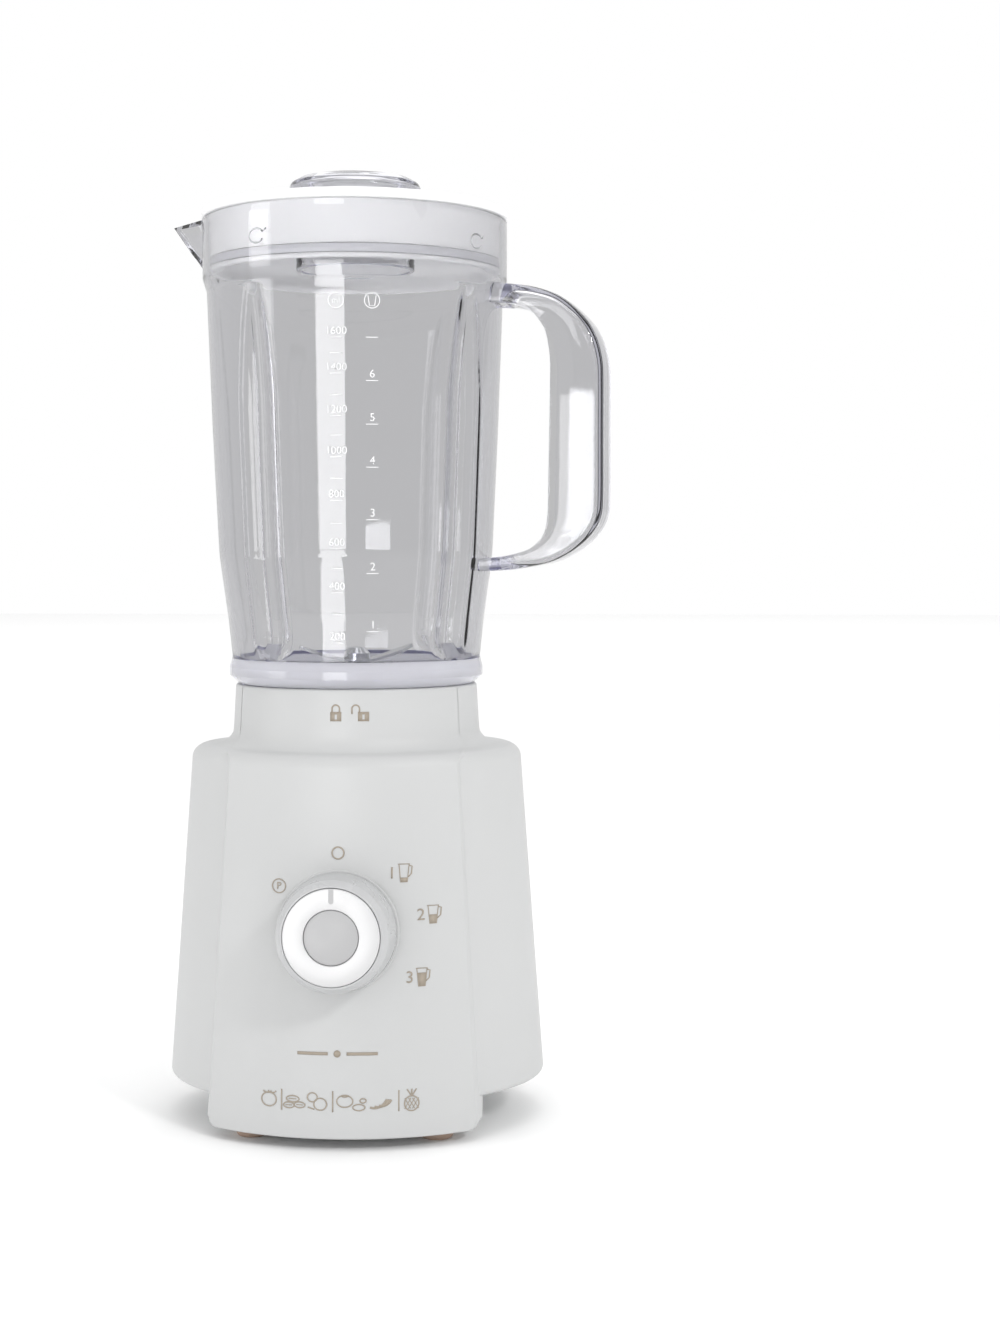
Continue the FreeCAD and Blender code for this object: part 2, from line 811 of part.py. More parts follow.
def interlock():
    """Spring-loaded pin that the lock ring presses down onto a safety switch."""
    y = "pin_reach"
    pin = turned([
        (0, 139.5),
        ("pin_radius", 139.5),
        ("pin_radius", 155),
        (3.8, 155),
        (3.8, 156.5),
        ("pin_radius", 156.5),
        ("pin_radius", "pin_top - 0.8"),
        ("pin_radius - 0.8", "pin_top"),
        (0, "pin_top"),
    ])
    node("interlock_pin", put(pin, y, 0, 0, PIN_TURN))
    plunger = turned([(0, 133), (1.2, 133), (1.2, 139.5), (0, 139.5)])
    node("microswitch_plunger", put(plunger, y, 0, 0, PIN_TURN))
    case = cut(block((-9.5, 9.5), (42.5, 50), (122, 136.5)), rod(1.5, 129, 138, 0, y))
    node("safety_microswitch", case)
    shelf = block((-10, 10), (42, 52.3), (142, 145))
    back = block((-10, 10), (50, 52.3), (120, 143))
    legs = [block(xs, (42, 49.3), (144, "deck_top - deck_thick")) for xs in ((-10, -7.5), (7.5, 10))]
    bracket = cut(fuse(shelf, back, *legs), rod("pin_radius + 0.4", 141, 146, 0, y))
    node("interlock_bracket", bracket)
    coil_radius = value("pin_radius + 1")
    wire_radius = 0.35
    coil = Part.Wire(Part.makeHelix(2, 9.2, coil_radius))
    section = Part.makeCircle(wire_radius, FreeCAD.Vector(coil_radius, 0, 0), FreeCAD.Vector(0, 1, 0))
    spring = doc.addObject("Part::Feature", "spring")
    spring.Shape = coil.makePipeShell([Part.Wire(section)], True, True)
    node("interlock_spring", put(spring, y, 0, 145.4, PIN_TURN))


def cord_inlet():
    grommet = turned([
        ("inlet_radius", -7.2),
        ("inlet_radius + 2.8", -7.2),
        ("inlet_radius + 2.8", -5.2),
        ("inlet_radius + 1.4", -5.2),
        ("inlet_radius + 1.4", 0.5),
        ("inlet_radius + 3.4", 0.5),
        ("inlet_radius + 2.6", 3.5),
        ("inlet_radius", 3.5),
    ])
    node("cord_inlet_grommet", on_back(grommet))


def jug_points():
    """The jug's outside and inside outlines, as (radius, height) from the rim down."""
    outside = [
        ("jug_rim_radius", "rim_top"),
        ("jug_rim_radius", "jug_shoulder"),
        ("jug_upper_radius", "jug_upper"),
        ("jug_mid_radius", "jug_mid"),
        ("jug_low_radius", "jug_low"),
        ("jug_waist_radius", "jug_waist"),
        ("jug_root_radius", "jug_root"),
        ("foot_ring_radius", "foot_ring_top"),
        ("foot_ring_radius", "foot_ring_bottom"),
        ("neck_rim_radius - 1", "neck_top + 0.3"),
        ("skirt_radius", "neck_top + 0.3"),
        ("skirt_radius", "skirt_bottom"),
    ]
    inside = [
        ("blade_hole", "jug_floor"),
        (40, "jug_floor"),
        (48, "jug_floor + 2.2"),
        (52.2, "jug_floor + 9"),
        ("jug_waist_radius - jug_wall", "jug_waist"),
        ("jug_low_radius - jug_wall", "jug_low"),
        ("jug_mid_radius - jug_wall", "jug_mid"),
        ("jug_upper_radius - jug_wall", "jug_upper"),
        ("jug_rim_radius - jug_wall", "jug_shoulder"),
        ("jug_rim_radius - jug_wall", "rim_top"),
    ]
    return outside, inside


def rib_rod(radius, turn):
    """An upright rod that leans out with the wall on a rib's place."""
    spread, climb = value("jug_upper_radius - jug_waist_radius"), value("jug_upper - jug_waist")
    lean = math.degrees(math.atan2(spread, climb))
    rib = short_rod(radius, "rib_top - jug_root")
    return put(rib, "rib_foot", 0, "jug_root - 2", turn, tilt=(0, 1, 0), lean=lean)


def jug_ribs(outside):
    """Four upright ribs on the inside of the wall that break the vortex."""
    envelope = turned([(30, "rim_top"), *outside[:9], (30, "foot_ring_bottom")])
    return [common(rib_rod("rib_radius", turn), envelope) for turn in RIB_TURNS]


def handle():
    """Channel-section handle, open towards the jug."""
    skin = "handle_skin"
    reach = "handle_reach"
    outer = [
        (64.4, 369),
        (83, 366.5),
        (94, 362.6),
        (101.4, 356.2),
        (f"{reach} - 3.6", 345.5),
        (f"{reach} - 0.8", 335),
        (reach, 328),
        (reach, 274),
        (f"{reach} - 0.8", 267),
        (f"{reach} - 4.6", 261),
        (105.8, 256.4),
        (98.7, 251),
        (90.4, 246.8),
        (76, 244),
        (58.5, 243),
    ]
    inner = [
        (58.8, 248.5),
        (74, 249.6),
        (84, 253),
        (89.4, 260),
        (90, 268),
        (91, 335),
        (89, 347),
        (83, 355),
        (76, 358.6),
        (63.6, 360),
    ]
    hollow = [
        (70, 361.5),
        (81.5, 363),
        (92.5, 359.4),
        (99, 354),
        (f"{reach} - 6.4", 344),
        (f"{reach} - {skin} - 0.7", 334.5),
        (f"{reach} - {skin}", 328),
        (f"{reach} - {skin}", 274),
        (f"{reach} - {skin} - 0.7", 268),
        (f"{reach} - 7", 263),
        (103.6, 259),
        (97, 254),
        (89, 249.6),
        (78, 247.2),
        (70, 252),
        (86, 262),
        (86, 345),
        (78, 355),
    ]
    form = padded("XZ_Plane", outer + inner, 0, "handle_width", True)
    channel = padded("XZ_Plane", hollow, 0, "handle_width - 2 * handle_skin", True)
    return put(cut(form, channel), 0, 0, 0, HANDLE_TURN)


def spout_form(reach, half_width, root, low, high, drop):
    """A pouring lip that widens upwards from a small nose on the wall."""
    body = doc.addObject("PartDesign::Body", "spout")
    nose = [(root, -3), (drop, -1), (drop, 1), (root, 3)]
    lip = [(root, f"-({half_width})"), (reach, -3), (reach, 3), (root, half_width)]
    loft = body.newObject("PartDesign::AdditiveLoft", "loft")
    loft.Profile = outline(body, "XY_Plane", nose, low)
    loft.Sections = [outline(body, "XY_Plane", lip, high)]
    loft.Ruled = True
    return put(body, 0, 0, 0, HANDLE_TURN + 180)


def jug():
    outside, inside = jug_points()
    skirt = [
        ("skirt_radius - skirt_wall", "skirt_bottom"),
        ("skirt_radius - skirt_wall", "jug_floor - 5.5"),
        ("skirt_radius - skirt_wall - 2.3", "jug_floor - floor_thick"),
        ("blade_hole", "jug_floor - floor_thick"),
    ]
    wall = turned(outside + skirt + inside)
    lip = spout_form("spout_reach", 21, "jug_rim_radius - 2", 374, "rim_top", 67.9)
    lip_hollow = spout_form("spout_reach - 2.6", 18.5, "jug_rim_radius - 6", 377, "rim_top + 2", 65.2)
    lugs = [
        cut(
            sector("skirt_radius - 1", "skirt_bottom", "lug_top", turn + LUG_LEAD, LUG_HALF),
            rod("lug_inner", 170, 190),
        )
        for turn in HOOK_TURNS
    ]
    notches = [
        cut(
            sector("skirt_radius + 2", "skirt_bottom - 1", "lug_top + 1", turn, 6.4),
            rod("skirt_radius - skirt_wall - 0.4", 170, 190),
        )
        for turn in KEY_TURNS
    ]
    flutes = [rib_rod("rib_radius - jug_wall", turn) for turn in RIB_TURNS]
    solid = fuse(wall, lip, handle(), *jug_ribs(outside), *lugs)
    node("jug", cut(solid, lip_hollow, *notches, *flutes))


def blade_unit():
    floor = "jug_floor"
    nut_top = "jug_floor - floor_thick"
    housing = turned([
        ("bushing_radius", "jug_floor - 9"),
        ("hub_radius", "jug_floor - 9"),
        ("hub_radius", f"{floor} + 1.5"),
        (17, f"{floor} + 1.5"),
        (16, f"{floor} + 3.5"),
        ("bushing_radius + 1.5", f"{floor} + 5"),
        ("bushing_radius", f"{floor} + 5"),
    ])
    node("blade_housing", housing)
    node("blade_gasket", tube("hub_radius", 16.5, floor, f"{floor} + 1.5"))
    node("blade_nut", cut(hexagon(17, f"{nut_top} - 5", nut_top), rod("hub_radius", 180, 195)))
    node("blade_bushing", tube("shaft_radius + shaft_gap", "bushing_radius", "jug_floor - 9", f"{floor} + 3"))
    node("lip_seal", tube("shaft_radius + shaft_gap", "bushing_radius", f"{floor} + 3", f"{floor} + 5"))
    node("blade_shaft", turned([
        (0, "hook_top + 0.3 - 7"),
        ("shaft_radius", "hook_top + 0.3 - 7"),
        ("shaft_radius", "blade_height + 4"),
        (0, "blade_height + 4"),
    ]))
    node("blade_spacer", tube("shaft_radius", 6, f"{floor} + 5.3", "blade_height"))


def blade_arm(turn, low, lean):
    """One tapering arm, cranked up or down from the hub disc."""
    arm = padded(
        "XY_Plane",
        [(0, -5), (14, -5), ("blade_reach - 7", 1), ("blade_reach - 7", 3), (13, 5), (0, 5)],
        0,
        "blade_thick",
    )
    return put(arm, 7, 0, low, turn, tilt=(0, 1, 0), lean=lean)


def blades():
    middle = "blade_height + blade_thick"
    for label, low, turn, lean in (
        ("lower_blade", "blade_height", 112, 3),
        ("upper_blade", middle, 22, -19),
    ):
        arms = [blade_arm(turn + half, low, lean) for half in (0, 180)]
        disc = rod(8.5, low, f"{low} + blade_thick")
        bore = rod("shaft_radius", 190, 230)
        node(label, cut(fuse(disc, *arms), bore))
    top = f"{middle} + blade_thick"
    node("blade_cap_nut", turned([
        ("shaft_radius", top),
        (6, top),
        (6, f"{top} + 3"),
        (3.5, f"{top} + 5.5"),
        (0, f"{top} + 6"),
        (0, "blade_height + 4"),
        ("shaft_radius", "blade_height + 4"),
    ]))


def drive_dog():
    low, high = "deck_top + 8", "hook_top - 1.5"
    vanes = [block((5, "dog_radius"), (-2, 2), (low, high), turn + 60) for turn in HOOK_TURNS]
    body = fuse(tube("shaft_radius", 7.6, low, high), *vanes)
    node("drive_dog", cut(body, rod("shaft_radius", 178, 190)))


def lid():
    """Push-in lid with a rim, a deep skirt and a collar round the filling hole."""
    low = "rim_top + lid_gap"
    collar = "lid_hole + lid_wall"
    skirt_low = "rim_top - skirt_depth"
    skirt_in = "lid_skirt_radius - lid_wall"
    body = turned([
        ("lid_hole", "lid_top - 17"),
        (collar, "lid_top - 17"),
        (collar, "lid_top - 3"),
        (52, "lid_top - 4"),
        (skirt_in, "lid_top - 5.8"),
        (skirt_in, skirt_low),
        ("lid_skirt_radius", skirt_low),
        ("lid_skirt_radius", "rim_top - 22"),
        ("lid_skirt_radius - 1.4", "rim_top - 22"),
        ("lid_skirt_radius - 1.4", "rim_top - 18"),
        ("lid_skirt_radius", "rim_top - 18"),
        ("lid_skirt_radius", low),
        ("lid_radius", low),
        ("lid_radius", "lid_top - 4.8"),
        ("lid_radius - 0.6", "lid_top - 3.6"),
        ("lid_radius - 2.2", "lid_top - 2.6"),
        (52, "lid_top - 1"),
        (38, "lid_top"),
        ("lid_hole", "lid_top"),
    ])
    node("lid", body)
    gasket = tube("lid_skirt_radius - 1.4", "gasket_radius", "rim_top - 21.8", "rim_top - 18.2")
    node("lid_gasket", gasket)


def filler_cap():
    """Clear measuring cup, upside down in the lid's hole."""
    inner = "cap_tube_radius - cap_wall"
    node("filler_cap", turned([
        ("cap_tube_radius", "cap_bottom"),
        ("cap_tube_radius", "lid_top + lid_gap"),
        ("cap_rim_radius", "lid_top + lid_gap"),
        ("cap_rim_radius", "cap_top - 6"),
        ("cap_rim_radius - 1.5", "cap_top - 2.6"),
        ("cap_rim_radius - 5", "cap_top - 0.7"),
        (12, "cap_top"),
        (0, "cap_top"),
        (0, "cap_top - cap_wall"),
        (inner, "cap_top - cap_wall - 1"),
        (inner, "cap_bottom"),
    ]))


def build():
    fill_sheet()
    for make in (
        base_housing,
        bottom_cover,
        feet,
        cover_screws,
        knob,
        switch,
        stator,
        field_coils,
        rotor,
        cooling_fan,
        upper_bracket,
        lower_bracket,
        bearings,
        motor_fasteners,
        brush_gear,
        capacitor,
        drive_socket,
        lock_ring,
        interlock,
        cord_inlet,
        jug,
        blade_unit,
        blades,
        drive_dog,
        lid,
        filler_cap,
    ):
        make()
    doc.recompute()


def check():
    for obj in doc.Objects:
        if "Invalid" in obj.State or "Error" in obj.State:
            raise RuntimeError(f"{obj.Name} ({obj.Label}) failed: {obj.State}")
    for label, obj in nodes.items():
        if obj.Shape.isNull() or not obj.Shape.isValid() or obj.Shape.Volume < 1:
            raise RuntimeError(f"{label} has no valid solid")
        print(f"{label}: {len(obj.Shape.Solids)} solid(s), {obj.Shape.Volume:.0f} mm3")


def export():
    os.makedirs("parts", exist_ok=True)
    for label, obj in nodes.items():
        obj.Shape.exportStep(f"parts/{label}.step")


build()
check()
export()
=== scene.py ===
import json
import math

import bmesh
import bpy
from mathutils import Matrix, Vector


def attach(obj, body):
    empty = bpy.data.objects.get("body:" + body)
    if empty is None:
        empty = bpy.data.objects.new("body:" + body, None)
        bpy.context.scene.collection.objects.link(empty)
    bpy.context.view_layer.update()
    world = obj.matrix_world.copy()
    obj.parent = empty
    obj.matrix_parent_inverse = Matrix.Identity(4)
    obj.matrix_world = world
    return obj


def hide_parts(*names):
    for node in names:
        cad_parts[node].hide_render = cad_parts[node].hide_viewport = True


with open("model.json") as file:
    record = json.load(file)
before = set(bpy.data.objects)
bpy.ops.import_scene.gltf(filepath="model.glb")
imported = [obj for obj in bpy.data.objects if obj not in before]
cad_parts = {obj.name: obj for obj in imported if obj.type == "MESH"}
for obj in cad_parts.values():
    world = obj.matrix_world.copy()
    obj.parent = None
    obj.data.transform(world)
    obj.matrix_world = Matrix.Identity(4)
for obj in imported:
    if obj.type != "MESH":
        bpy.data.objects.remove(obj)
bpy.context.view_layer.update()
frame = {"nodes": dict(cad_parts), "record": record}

MM = 0.001
HANDLE_TURN = math.radians(-10)
SPOUT_TURN = math.radians(170)
RIB_TURNS = [math.radians(a) for a in (-125, -35, 55, 145)]
FRONT_LEAN = math.atan2(9.1, 147.5)
KNOB_PLACE = (0, -0.06903, 0.092)
NODES = frame["nodes"]


# ---------------------------------------------------------------- mesh helpers

def corner(before, at, after, radius, steps):
    """A corner of an outline as an arc, its radius limited by the sides next to it."""
    a, b = before - at, after - at
    if radius <= 0 or a.length < 1e-9 or b.length < 1e-9:
        return [at.copy()]
    half = a.angle(b) / 2
    if half < 0.01 or half > math.pi / 2 - 0.005:
        return [at.copy()] * (steps + 1)
    reach = min(radius / math.tan(half), 0.47 * min(a.length, b.length))
    size = reach * math.tan(half)
    a, b = a.normalized(), b.normalized()
    centre = at + (a + b).normalized() * (size / math.sin(half))
    start, end = at + a * reach - centre, at + b * reach - centre
    sweep = start.angle(end)
    points = []
    for i in range(steps + 1):
        t = i / steps
        weight = math.sin((1 - t) * sweep), math.sin(t * sweep)
        points.append(centre + (start * weight[0] + end * weight[1]) / math.sin(sweep))
    return points


def softened(outline, steps=5):
    """A closed outline of (across, up, corner radius) with its corners rounded."""
    spots = [Vector((p[0], p[1])) for p in outline]
    path = []
    for i, point in enumerate(outline):
        path += corner(spots[i - 1], spots[i], spots[(i + 1) % len(spots)], point[2], steps)
    return path


def split_long(path, step):
    """Points added so that no side of a closed path is longer than step."""
    result = []
    for i, point in enumerate(path):
        after = path[(i + 1) % len(path)]
        count = max(1, math.ceil((after - point).length / step))
        result += [point.lerp(after, k / count) for k in range(count)]
    return result


def make(name, points, faces, sharp=32, place=None):
    """A mesh object from points in millimetres, smooth but for its sharp edges."""
    mesh = bpy.data.meshes.new(name)
    mesh.from_pydata([Vector(p) * MM for p in points], [], faces)
    cleaned(mesh, sharp)
    if place:
        mesh.transform(place)
    obj = bpy.data.objects.new(name, mesh)
    bpy.context.collection.objects.link(obj)
    return obj


def cleaned(mesh, sharp):
    """Doubled points merged, faces turned outwards, smooth shading between the sharp edges."""
    form = bmesh.new()
    form.from_mesh(mesh)
    bmesh.ops.remove_doubles(form, verts=form.verts, dist=2e-6)
    bmesh.ops.dissolve_degenerate(form, edges=form.edges, dist=1e-7)
    bmesh.ops.recalc_face_normals(form, faces=form.faces)
    form.to_mesh(mesh)
    form.free()
    mesh.polygons.foreach_set("use_smooth", [True] * len(mesh.polygons))
    mesh.set_sharp_from_angle(angle=math.radians(sharp))


def grid(name, rows, wrap_rows=True, caps=False, sharp=32, place=None):
    """Closed rows of points joined by four-sided faces, the last row to the first where it wraps."""
    count, width = len(rows), len(rows[0])
    faces = []
    for i in range(count if wrap_rows else count - 1):
        for j in range(width):
            below, beside = (i + 1) % count, (j + 1) % width
            faces.append((i * width + j, i * width + beside, below * width + beside, below * width + j))
    if caps:
        faces.append(tuple(range(width)))
        faces.append(tuple(range((count - 1) * width, count * width)))
    return make(name, [p for row in rows for p in row], faces, sharp, place)


def lathe(name, outline, turns=128, steps=5, sharp=32, place=None):
    """A closed outline of (radius, height, corner radius) turned about the upright axis."""
    path = softened(outline, steps)
    rows = []
    for k in range(turns):
        angle = 2 * math.pi * k / turns
        rows.append([(max(p.x, 0) * math.cos(angle), max(p.x, 0) * math.sin(angle), p.y) for p in path])
    return grid(name, rows, sharp=sharp, place=place)


def joined_with(obj, other, sharp=32):
    """Boolean union, with the other object used up."""
    step = obj.modifiers.new("join", "BOOLEAN")
    step.operation = "UNION"
    step.solver = "EXACT"
    step.object = other
    bpy.context.view_layer.update()
    result = bpy.data.meshes.new_from_object(obj.evaluated_get(bpy.context.evaluated_depsgraph_get()))
    obj.modifiers.clear()
    obj.data = result
    bpy.data.objects.remove(other)
    cleaned(result, sharp)
    return obj


def front_frame():
    """Turns a shape built upwards from its origin to stand on the front wall at the knob's place."""
    sin, cos = math.sin(FRONT_LEAN), math.cos(FRONT_LEAN)
    turn = Matrix(((1, 0, 0, 0), (0, sin, -cos, 0), (0, cos, sin, 0), (0, 0, 0, 1)))
    return Matrix.Translation(KNOB_PLACE) @ turn


# ---------------------------------------------------------------- materials

# places of a Mix node's colour sockets
MIX_A, MIX_B, MIX_RESULT = 6, 7, 2


def material(name, colour, rough, vary=0.04, grain=60, bump=0.02, fine=1500, metal=0.0, absorb=None,
             **sockets):
    """A node material: colour and roughness wander with soft noise, a fine grain lifts the surface."""
    mat = bpy.data.materials.new(name)
    mat.use_nodes = True
    nodes, links = mat.node_tree.nodes, mat.node_tree.links
    nodes.clear()
    out = nodes.new("ShaderNodeOutputMaterial")
    shader = nodes.new("ShaderNodeBsdfPrincipled")
    links.new(shader.outputs["BSDF"], out.inputs["Surface"])
    shader.inputs["Metallic"].default_value = metal
    for socket, amount in sockets.items():
        shader.inputs[socket.replace("_", " ")].default_value = amount
    coords = nodes.new("ShaderNodeTexCoord")
    cloud = nodes.new("ShaderNodeTexNoise")
    cloud.inputs["Scale"].default_value = grain
    cloud.inputs["Detail"].default_value = 4
    links.new(coords.outputs["Object"], cloud.inputs["Vector"])
    mix = nodes.new("ShaderNodeMix")
    mix.data_type = "RGBA"
    mix.inputs[MIX_A].default_value = (*[c * (1 - vary) for c in colour], 1)
    mix.inputs[MIX_B].default_value = (*[min(1, c * (1 + vary)) for c in colour], 1)
    links.new(cloud.outputs["Fac"], mix.inputs["Factor"])
    links.new(mix.outputs[MIX_RESULT], shader.inputs["Base Color"])
    smudge = nodes.new("ShaderNodeTexNoise")
    smudge.inputs["Scale"].default_value = grain * 0.6
    smudge.inputs["Detail"].default_value = 6
    smudge.inputs["Distortion"].default_value = 0.8
    links.new(coords.outputs["Object"], smudge.inputs["Vector"])
    spread = nodes.new("ShaderNodeMapRange")
    spread.inputs["From Min"].default_value = 0.3
    spread.inputs["From Max"].default_value = 0.7
    spread.inputs["To Min"].default_value = rough * 0.85
    spread.inputs["To Max"].default_value = min(1, rough * 1.2)
    links.new(smudge.outputs["Fac"], spread.inputs["Value"])
    links.new(spread.outputs["Result"], shader.inputs["Roughness"])
    speck = nodes.new("ShaderNodeTexNoise")
    speck.inputs["Scale"].default_value = fine
    speck.inputs["Detail"].default_value = 2
    links.new(coords.outputs["Object"], speck.inputs["Vector"])
    lift = nodes.new("ShaderNodeBump")
    lift.inputs["Strength"].default_value = bump
    lift.inputs["Distance"].default_value = 0.0004
    links.new(speck.outputs["Fac"], lift.inputs["Height"])
    links.new(lift.outputs["Normal"], shader.inputs["Normal"])
    if absorb:
        tint, density = absorb
        thick = nodes.new("ShaderNodeVolumeAbsorption")
        thick.inputs["Color"].default_value = (*tint, 1)
        thick.inputs["Density"].default_value = density
        links.new(thick.outputs["Volume"], out.inputs["Volume"])
    return mat


PLASTIC_IOR = 1.4

LOOKS = {
    "housing_white": material("housing_white", (0.55, 0.555, 0.555), 0.5, bump=0.05, vary=0.015, grain=25),
    "lid_white": material(
        "lid_white", (0.87, 0.87, 0.87), 0.3, bump=0.02, vary=0.012, grain=25,
        Subsurface_Weight=0.6, Subsurface_Radius=(1, 1, 1), Subsurface_Scale=0.006
    ),
    "cover_grey": material("cover_grey", (0.50, 0.51, 0.51), 0.55, bump=0.08),
    "clear_plastic": material(
        "clear_plastic", (0.985, 0.985, 0.985), 0.02, vary=0.005, bump=0.004, fine=300,
        absorb=((0.80, 0.80, 0.97), 28), Transmission_Weight=1.0, IOR=PLASTIC_IOR
    ),
    "knob_white": material("knob_white", (0.50, 0.505, 0.51), 0.26, vary=0.015, bump=0.02),
    "knob_grey": material("knob_grey", (0.43, 0.43, 0.435), 0.42, vary=0.03, bump=0.05),
    "foot_rubber": material("foot_rubber", (0.46, 0.33, 0.26), 0.75, vary=0.1, bump=0.15),
    "seal_rubber": material("seal_rubber", (0.80, 0.80, 0.83), 0.4, vary=0.04, Transmission_Weight=0.3),
    "dark_rubber": material("dark_rubber", (0.03, 0.03, 0.03), 0.7, vary=0.2, bump=0.1),
    "steel": material("steel", (0.56, 0.57, 0.59), 0.28, metal=1.0, vary=0.06, bump=0.05),
    "blade_steel": material(
        "blade_steel", (0.66, 0.67, 0.69), 0.2, metal=1.0, vary=0.06, bump=0.06, fine=700
    ),
    "lamination": material("lamination", (0.20, 0.20, 0.21), 0.5, metal=0.8, vary=0.15, bump=0.2),
    "copper": material("copper", (0.50, 0.20, 0.09), 0.35, metal=0.9, vary=0.15, bump=0.2),
    "brass": material("brass", (0.62, 0.44, 0.16), 0.32, metal=1.0, vary=0.08),
    "carbon": material("carbon", (0.03, 0.03, 0.03), 0.6, vary=0.2),
    "black_plastic": material("black_plastic", (0.025, 0.025, 0.028), 0.45, vary=0.15, bump=0.06),
    "nylon": material("nylon", (0.66, 0.65, 0.60), 0.45, vary=0.04, bump=0.05),
    "board": material("board", (0.26, 0.13, 0.05), 0.6, vary=0.15, bump=0.1),
}
KNOB_BAND = material("knob_band", (0.62, 0.62, 0.625), 0.22, vary=0.012, bump=0.02)
CLEAR_FOOT = material(
    "clear_foot", (0.84, 0.84, 0.89), 0.06, vary=0.02, bump=0.01, fine=300,
    absorb=((0.84, 0.84, 0.95), 10), Transmission_Weight=0.55, IOR=PLASTIC_IOR
)
TAUPE = material("print_taupe", (0.36, 0.31, 0.25), 0.5, vary=0.06, bump=0.03)
FROST = material("print_white", (0.93, 0.93, 0.94), 0.5, vary=0.03, bump=0.03)


def dress(obj, look, body, *stands_for):
    """Give a visual piece its material, its body and the CAD nodes it is shown for."""
    obj.data.materials.clear()
    obj.data.materials.append(LOOKS[look] if isinstance(look, str) else look)
    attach(obj, body)
    if stands_for:
        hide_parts(*stands_for)
    return obj


# ---------------------------------------------------------------- base housing

LOW_A, LOW_B, TOP_A, TOP_B = 84.2, 71.6, 73.5, 62.5
LOW_Z, TOP_Z = 18.0, 165.5
PANEL_LOW, PANEL_PROUD, PANEL_CORNER = 5.0, 2.0, 4.0
PANEL_ROOT, WING_STEPS = 0.9, 32
BEVEL = math.tan(math.radians(25))
SHELL, SEAT_Z, CEILING_Z = 2.6, 21, 162.9
DECK_HOLE, DECK_UNDER_Z, DECK_Z = 17, 166.5, 170
NECK_INNER, NECK_TOP, NECK_FOOT, NECK_Z = 50.8, 53.9, 55.5, 193


def half_sizes(z, grow=0.0):
    """Half width and half depth of the oval body at a height."""
    t = (z - LOW_Z) / (TOP_Z - LOW_Z)
    return LOW_A + (TOP_A - LOW_A) * t + grow, LOW_B + (TOP_B - LOW_B) * t + grow


def panel_edge(z, a, b):
    """Half width of the proud panel at a height, where its slanting side meets its face."""
    t = (min(z, TOP_Z) - PANEL_LOW) / (TOP_Z - PANEL_LOW)
    edge = 58.9 + (50.2 - 58.9) * t
    reach = half_sizes(min(z, TOP_Z))[1] * 0.732
    across = edge
    for _ in range(12):
        depth = b * math.sqrt(max(0, 1 - (across / a) ** 2))
        across = 0.5 * across + 0.5 * (edge - BEVEL * max(0, depth - reach))
    return min(across, 0.86 * a)


def wall_profile(axis, grow, bottom, rounding):
    """The housing's closed outline seen from the front (axis 0) or the side (axis 1)."""
    top = half_sizes(TOP_Z, grow)[axis]
    low = half_sizes(bottom, grow)[axis]
    seat = half_sizes(SEAT_Z)[axis]
    return [
        (DECK_HOLE, DECK_Z, 0.3),
        (NECK_INNER, DECK_Z, 0.5),
        (NECK_INNER, NECK_Z, 0.7),
        (NECK_TOP, NECK_Z, 1.2),
        (NECK_FOOT, TOP_Z + 3 * axis, 8),
        (top, TOP_Z - 1.5 * axis, 5 + 4 * axis),
        (low, bottom, rounding),
        (low - 5 if bottom == LOW_Z else low - 3.2, bottom, 0.4),
        (seat - 5, SEAT_Z, 0.3),
        (seat - SHELL, SEAT_Z, 0.3),
        (half_sizes(CEILING_Z)[axis] - SHELL, CEILING_Z, 1),
        (NECK_INNER + 0.5, CEILING_Z, 0.5),
        (NECK_INNER + 0.5, DECK_UNDER_Z, 0.5),
        (DECK_HOLE, DECK_UNDER_Z, 0.3),
    ]


def housing_path(grow, bottom, rounding):
    """Ring by ring (half width, half depth, height) round the housing's section."""
    rings = []
    views = [softened(wall_profile(axis, grow, bottom, rounding), 6) for axis in (0, 1)]
    count = len(views[0])
    for i in range(count):
        after = (i + 1) % count
        pieces = 14 if abs(views[0][i].y - views[0][after].y) > 60 else 1
        for k in range(pieces):
            t = k / pieces
            wide = views[0][i].lerp(views[0][after], t)
            deep = views[1][i].lerp(views[1][after], t)
            rings.append((wide.x, deep.x, (wide.y + deep.y) / 2))
    return rings


